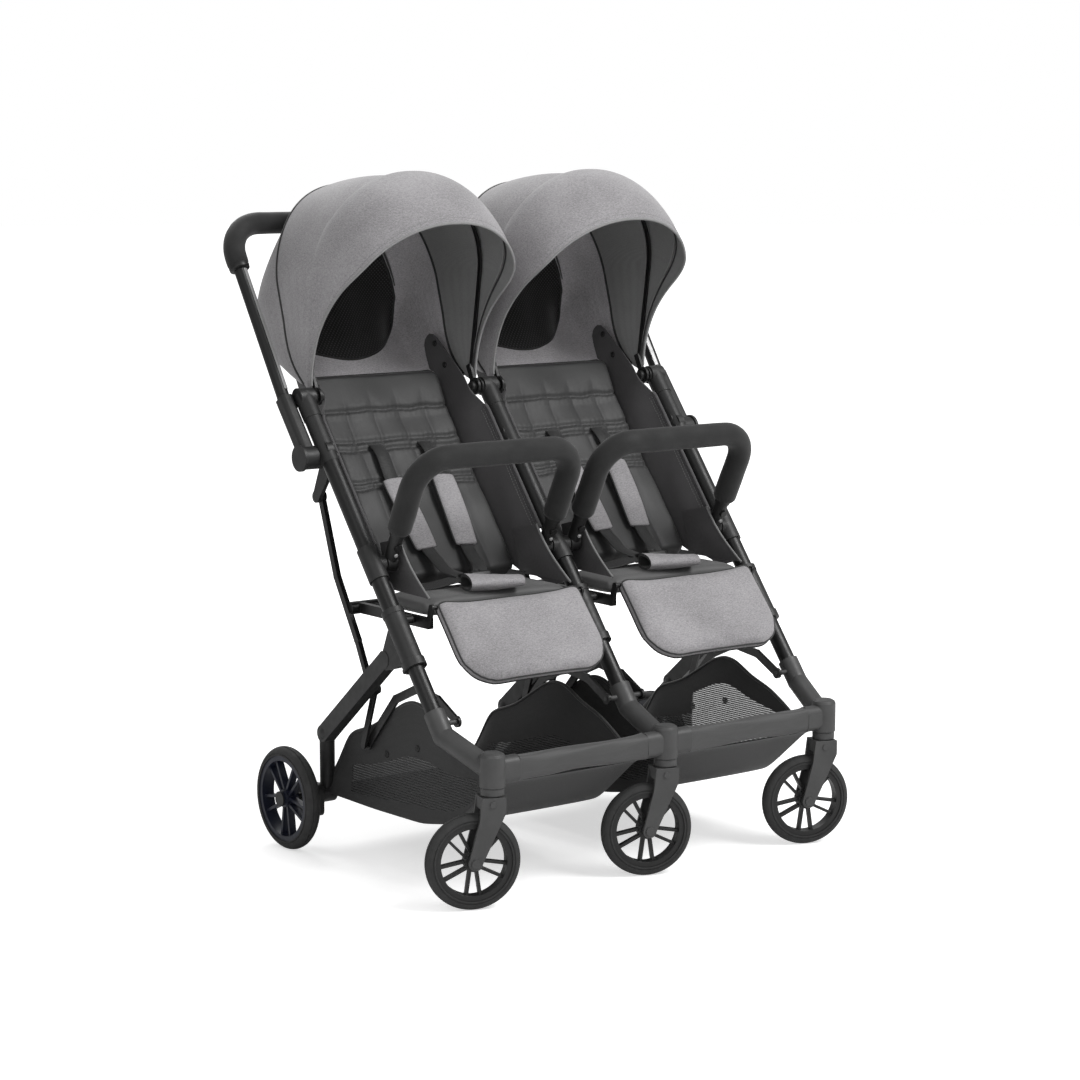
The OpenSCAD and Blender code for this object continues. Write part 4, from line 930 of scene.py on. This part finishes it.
# Shoulder straps: across from the seat's middle, ahead of the quilting, up the tube
STRAP_PATH = ((46, -14, 419), (46, -1, 415), (46, 4, 404), (47.5, 6, 346), (42.75, 7, 281), (38, 6, 216))
PAD_PATH = ((47.5, 8, 346), (42.75, 9.5, 281), (38, 8, 216))
TAIL_PATH = ((38, 7, 220), (34.2, 14, 194))


def harness(seat, m):
    """Shoulder straps out of the slots, melange pads, and webbing on to the buckle."""
    body = f"backrest_{seat}"
    for d, label in ((-1, "a"), (1, "b")):

        def at(x, ahead, s):
            return on_leg([d * x + m * SEAT_X, BACK_V - QUILT_RISE - ahead, s])

        strap = curve([at(*p) for p in STRAP_PATH], 5.0)
        web = sweep(f"shoulder_strap_{seat}_{label}", strap, flat(25, 1.8), WEBBING, side=(1, 0, 0))
        finish_piece(web, body)
        line = curve([at(*p) for p in PAD_PATH], 4.0)
        ends = np.clip(np.linspace(0, 1, len(line)), 0.02, 0.98)
        full = 0.86 + 0.14 * np.sin(math.pi * ends) ** 0.35
        name = f"shoulder_pad_{seat}_{label}"
        cushion = soften(sweep(name, line, flat(43, 9.5), PADDING, side=(1, 0, 0), scale=full))
        finish_piece(cushion, body, (f"harness_{seat}",) if d < 0 else ())
        for i in (-1, 1):
            edge = snapped(line + np.array([i * 21.0, 0, 0]), cushion, 0.3)
            trim(f"pad_piping_{seat}_{label}{i + 1}", edge, circle(1.1, 6), PIPING, body)
        spot = np.array([m * SEAT_X + d * 20, 262.0, SEAT_Z + 16])
        link = curve([*(at(*p) for p in TAIL_PATH), spot + np.array([d * 12, 22, 8]), spot], 5.0)
        tail = sweep(f"harness_tail_{seat}_{label}", link, flat(24, 1.8), WEBBING, side=(1, 0, 0))
        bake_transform(tail)


def buckle(seat, m):
    """Buckle with its lap straps and the folded crotch pad."""
    x0 = m * SEAT_X
    centre = np.array([x0, 250.0, SEAT_Z + 14])
    edge = outline(50, -19, 19, 11, 7, 8)
    shapes = []
    for inset, z in ((2.5, -7.5), (0, -5), (0, 3.5), (1.2, 5.6), (3.2, 7.0)):
        ring = edge * (1 - inset / 22)
        shapes.append(turned(np.concatenate([ring, np.full((len(ring), 1), z)], 1), centre, -14))
    n = len(edge)
    # a round well keeps the button clear
    a = np.arctan2(edge[:, 1], edge[:, 0])
    for r, z in ((10.6, 7.0), (10.2, 2.6)):
        ring = np.stack([r * np.cos(a), r * np.sin(a), np.full(n, z)], -1)
        shapes.append(turned(ring, centre, -14))
    body = make(f"buckle_body_{seat}", shapes, tube_faces(len(shapes), n), [BLACK], sharp=35)
    finish_piece(body, "main_frame", (f"buckle_{seat}",))
    straps = []
    for d in (-1, 1):
        path = curve([centre + [d * 20, 2, 0], centre + [d * 48, 8, -5], centre + [d * 84, 20, -11],
                      centre + [d * 112, 40, -6]], 5.0)
        straps.append(sweep(f"lap_{d + 1}", path, flat(25, 1.8), WEBBING, side=(0, 1, 0.2)))
    path = curve([centre + [0, -16, -3], centre + [0, -34, -9], centre + [0, -56, -10.5]], 4.0)
    straps.append(sweep("crotch", path, flat(24, 1.8), WEBBING, side=(1, 0, 0)))
    lap = merge(f"lap_straps_{seat}", straps)
    finish_piece(lap, "main_frame")
    # folded pad: a flattened loop of cloth, open at its left end
    spin = math.radians(-14)
    rows = []
    for t in np.linspace(0, 1, 23):
        a = np.linspace(0, 2 * math.pi, 40, endpoint=False)
        shut = 1 - 0.45 * t**2
        y = 23 * np.sign(np.cos(a)) * np.abs(np.cos(a)) ** 0.8 * (1 - 0.1 * t)
        z = (10.5 * np.sin(a) * shut) + 1.2 * np.sin(a * 2 + t * 3) - 3.0 * t * (1 - t)
        x = np.full_like(a, -44 + 88 * t)
        p = np.stack([x, y, z + 12.2], -1)
        rows.append(np.stack([p[:, 0] * math.cos(spin) - p[:, 1] * math.sin(spin),
                              p[:, 0] * math.sin(spin) + p[:, 1] * math.cos(spin), p[:, 2]], -1))
    grid = np.array(rows)
    grid = np.concatenate([grid, grid[:, :1]], 1) + np.array([x0, 203.0, SEAT_Z + 0.6])
    flap = shell(f"crotch_pad_{seat}", grid, 4.0, [PADDING, PIPING], flip=False)
    finish_piece(flap, "main_frame")


for seat, m in SEATS.items():
    seat_base(seat, m)
    backrest(seat, m)
    for d in (-1, 1):
        side_panel(seat, m, d, "outer" if d == m else "inner")
    calf_rest(seat, m)
    harness(seat, m)
    buckle(seat, m)


# Foam grips on the handle and the bumper bars


def u_path(w, length, r, z0):
    """Centre line of a bent U from one end to the other."""
    a = np.radians(np.linspace(0, 90, 14))
    right = [[w, 0, z] for z in np.linspace(z0, length - r, 10)[:-1]]
    corner = [[w - r + r * math.cos(t), 0, length - r + r * math.sin(t)] for t in a]
    half = right + corner
    other = [[-x, y, z] for x, y, z in half[::-1]]
    bar = [[x, 0, length] for x in np.linspace(w - r, -(w - r), 30)[1:-1]]
    return np.array(half + bar + other)


def foam_grip(name, path, radius, body, node):
    """Foam with rounded ends and a slightly uneven skin."""
    path = resample(path, 5.0)
    at = arc_length(path)
    rest = np.minimum(at, at[-1] - at)
    scale = 0.84 + 0.16 * rounded(rest, 7.0)
    scale = scale * (1 + 0.006 * np.sin(at * 0.07) + 0.004 * np.sin(at * 0.19))
    grip = sweep(name, path, circle(radius, 28), FOAM, scale=scale)
    finish_piece(grip, body, (node,))


HANDLE_FOAM_R, BUMPER_FOAM_R = 17.4, 18.9
GRIP_END = HANDLE_LEN - 78.0
END_RING = ((10.4, -4), (15.6, -4), (16.6, 0), (16.0, 5), (12.2, 7), (10.4, 7))
handle_path = turned(u_path(HANDLE_W, HANDLE_LEN, HANDLE_R, GRIP_END), HANDLE, -HANDLE_LEAN)
foam_grip("handle_foam", handle_path, HANDLE_FOAM_R, "handle", "handle_grip")
down_tube = turned([0, 0, -1], (0, 0, 0), -HANDLE_LEAN)
rings, strips = [], []
for d in (-1, 1):
    end = turned([d * HANDLE_W, 0, GRIP_END], HANDLE, -HANDLE_LEAN)
    rings.append(revolve("ring", END_RING, end, down_tube, BLACK, 28))
    path = [[d * (HANDLE_W - 4.0), -9.4, z] for z in np.linspace(10, GRIP_END - 8, 20)]
    path = turned(path, HANDLE, -HANDLE_LEAN)
    strips.append(sweep("strip", path, flat(7.0, 1.6), STRIP, side=(1, -0.4 * d, 0)))
finish_piece(merge("handle_end_rings", rings), "handle")
finish_piece(merge("handle_strips", strips), "handle")

for seat, m in SEATS.items():
    pivot = (m * SEAT_X, *BUMPER)
    path = turned(u_path(BUMPER_W, BUMPER_LEN, BUMPER_R, 57.0), pivot, BUMPER_LEAN)
    foam_grip(f"bumper_foam_{seat}", path, BUMPER_FOAM_R, f"bumper_{seat}", f"bumper_grip_{seat}")
    ahead = turned([0, -1, 0], (0, 0, 0), BUMPER_LEAN)
    spots = [(turned([d * BUMPER_W, -11.0, 20.0], pivot, BUMPER_LEAN), ahead) for d in (-1, 1)]
    finish_piece(studs(f"bumper_screws_{seat}", spots, 3.2, SCREW, STRIP), f"bumper_{seat}")


# Front crossbars: cloth sleeves with long wrinkles

for seat, m in SEATS.items():
    t = np.linspace(0, 1, 81)[:, None]
    a = np.linspace(0, 2 * math.pi, 44, endpoint=False)
    x = CROSS_X0 - 1.0 + (CROSS_X1 - CROSS_X0 + 2.0) * t
    waist = 0.93 + 0.1 * (2 * t - 1) ** 6
    ripple = 0.9 * np.sin(a * 3 + t * 7) + 0.7 * np.sin(a * 5 - t * 11 + 1) + 0.8 * np.sin(a * 2 + 9 * t**2)
    y = waist * 12.6 * np.sign(np.cos(a)) * np.abs(np.cos(a)) ** 0.7 + 0.5 * ripple * np.cos(a)
    z = waist * 19.2 * np.sign(np.sin(a)) * np.abs(np.sin(a)) ** 0.7 + 0.7 * ripple * np.sin(a)
    grid = np.stack([m * x + 0 * a, y, CROSS_Z + z], -1)
    faces = tube_faces(*ripple.shape, flip=m < 0)
    sleeve = make(f"crossbar_sleeve_{seat}", grid, faces, [SLEEVE])
    finish_piece(sleeve, "undercarriage", ("front_crossbars",) if m < 0 else ())


# Basket: two sagging lofted tubs

# Floor and upper edge of a tub: places back and heights
BASKET_LINE = ((16, 184), (36, 168), (62, 146), (92, 121), (120, 100), (200, 86), (330, 84),
               (457, 85), (474, 92))
BASKET_TOP = ((16, 186), (37, 181), (60, 204), (110, 232), (160, 248), (196, 267), (222, 270), (250, 261),
              (285, 240), (330, 214), (396, 192), (420, 150), (457, 104), (474, 98))


def eased(line, y):
    """Heights along a broken line, smoothed."""
    z = np.interp(y, *zip(*line))
    for _ in range(2):
        z = np.convolve(np.pad(z, 2, mode="edge"), np.ones(5) / 5, "valid")
    return z


def basket(seat, m):
    y = np.linspace(16, 474, 90)
    low, high = eased(BASKET_LINE, y), eased(BASKET_TOP, y)
    half = (SIDE_X - 74) / 2 - 2
    u = np.linspace(-1, 1, 81)
    # wall, round corner, floor, round corner, wall
    wall = 0.36
    side = np.clip((np.abs(u) - (1 - wall)) / wall, 0, 1)
    floor = np.clip(np.abs(u) / (1 - wall), 0, 1)
    x = np.sign(u) * half * np.sin(math.pi / 2 * floor) ** 0.9
    up = side ** 1.15
    x = x * (1 - 0.035 * np.sin(math.pi * up) * (side > 0))
    rows = []
    for yy, lo, hi in zip(y, low, high):
        sag = 5 * math.sin(math.pi * np.clip((yy - 90) / 340, 0, 1)) * (1 - floor**2)
        z = lo - sag + (hi - lo) * up
        rows.append(np.stack([m * SEAT_X + x, np.full_like(x, yy), z], -1))
    grid = np.array(rows)
    tub = shell(f"basket_tub_{seat}", grid, 2.0, [BASKET, NET, NET_PAINTED_LIGHT], flip=False)
    # net on the lower walls and front, solid cloth on the humps and floor; the right tub's outer wall takes
    # a lighter, clearer copy of the net, painted light seen through it
    solid = []
    for p in tub.data.polygons:
        c = p.center / MM
        lo, hi = np.interp(c[1], y, low), np.interp(c[1], y, high)
        share = (c[2] - lo) / max(20.0, hi - lo)
        net = 0.1 < share < 0.52 and 60 < c[1] < 395
        far = c[0] > SEAT_X + 100 and 0.1 < share < 0.8 and 60 < c[1] < 300
        solid.append(2 if far else 1 if net else 0)
    tub.data.polygons.foreach_set("material_index", np.array(solid, np.int32))
    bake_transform(tub)
    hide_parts("basket")
    for i, line in enumerate((grid[6:, 0], grid[6:, -1])):
        bind = sweep(f"basket_hem_{seat}_{i}", line, circle(2.6, 8), PIPING)
        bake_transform(bind)
    spots = []
    for yy in (215, 300):
        r = int(np.argmin(np.abs(y - yy)))
        for c, face in ((5, -1), (-6, 1)):
            spots.append((grid[r, c] + np.array([face * 1.2, 0, 0]), (face, 0, 0)))
    finish_piece(studs(f"basket_snaps_{seat}", spots, 5.5, SNAP, BLACK), "main_frame")


for seat, m in SEATS.items():
    basket(seat, m)


# Studio: pale floor, soft light, the photograph's camera


def studio():
    floor_mat = bpy.data.materials.new("floor")
    floor_mat.use_nodes = True
    tree = floor_mat.node_tree
    bsdf = tree.nodes["Principled BSDF"]
    bsdf.inputs["Roughness"].default_value = 0.9
    bsdf.inputs["Specular IOR Level"].default_value = 0.1
    coord = put(tree, "TexCoord").outputs["Object"]
    shade = ramp(tree, noise_of(tree, coord, 3.0), ((0.0, 0.8), (1.0, 0.82)))
    tree.links.new(shade, bsdf.inputs["Base Color"])
    seen = put(tree, "LightPath").outputs["Is Camera Ray"]
    bsdf.inputs["Emission Color"].default_value = (1, 1, 1, 1)
    # the floor glows more away from the stroller, so it meets the backdrop without an edge
    away = put(tree, "VectorMath", {"operation": "LENGTH"}, Vector=coord).outputs["Value"]
    glow = ramp(tree, calc(tree, "MULTIPLY", away, 0.2), ((0.16, 0.58), (0.5, 1.0)))
    tree.links.new(calc(tree, "MULTIPLY", seen, glow), bsdf.inputs["Emission Strength"])
    ring = np.pad(circle(30000.0, 24), ((0, 0), (0, 1)))
    floor = make("floor", ring, [list(range(len(ring)))], [floor_mat])

    world = bpy.data.worlds.new("studio")
    scene.world = world
    world.use_nodes = True
    tree = world.node_tree
    back = tree.nodes["Background"]
    path = put(tree, "LightPath")
    seen = calc(tree, "MAXIMUM", path.outputs["Is Camera Ray"], path.outputs["Is Transmission Ray"])
    back.inputs["Color"].default_value = (1, 1, 1, 1)
    strength = calc(tree, "ADD", calc(tree, "MULTIPLY", seen, 0.6), 0.4)
    tree.links.new(strength, back.inputs["Strength"])

    for name, place, size, watts in (
            ("key", (1.6, -2.6, 3.8), 2.2, 165.0),
            ("fill", (-3.2, -2.0, 2.2), 2.6, 30.0),
            ("rim", (0.5, 2.8, 3.2), 2.0, 60.0)):
        lamp = bpy.data.lights.new(name, "AREA")
        lamp.energy = watts
        lamp.size = size
        obj = bpy.data.objects.new(name, lamp)
        obj.location = place
        obj.rotation_euler = (Vector((0, 0.3, 0.5)) - Vector(place)).to_track_quat("-Z", "Y").to_euler()
        scene.collection.objects.link(obj)

    lens = bpy.data.cameras.new("photo_camera")
    lens.lens = 96.02
    lens.sensor_width = 36.0
    lens.clip_end = 200.0
    eye = bpy.data.objects.new("photo_camera", lens)
    eye.location = (-2.74585, -3.30028, 1.12757)
    eye.rotation_euler = (math.radians(81.87), 0.0, math.radians(-37.22))
    scene.collection.objects.link(eye)
    scene.camera = eye
    scene.view_settings.view_transform = "Standard"


studio()
bpy.context.view_layer.update()
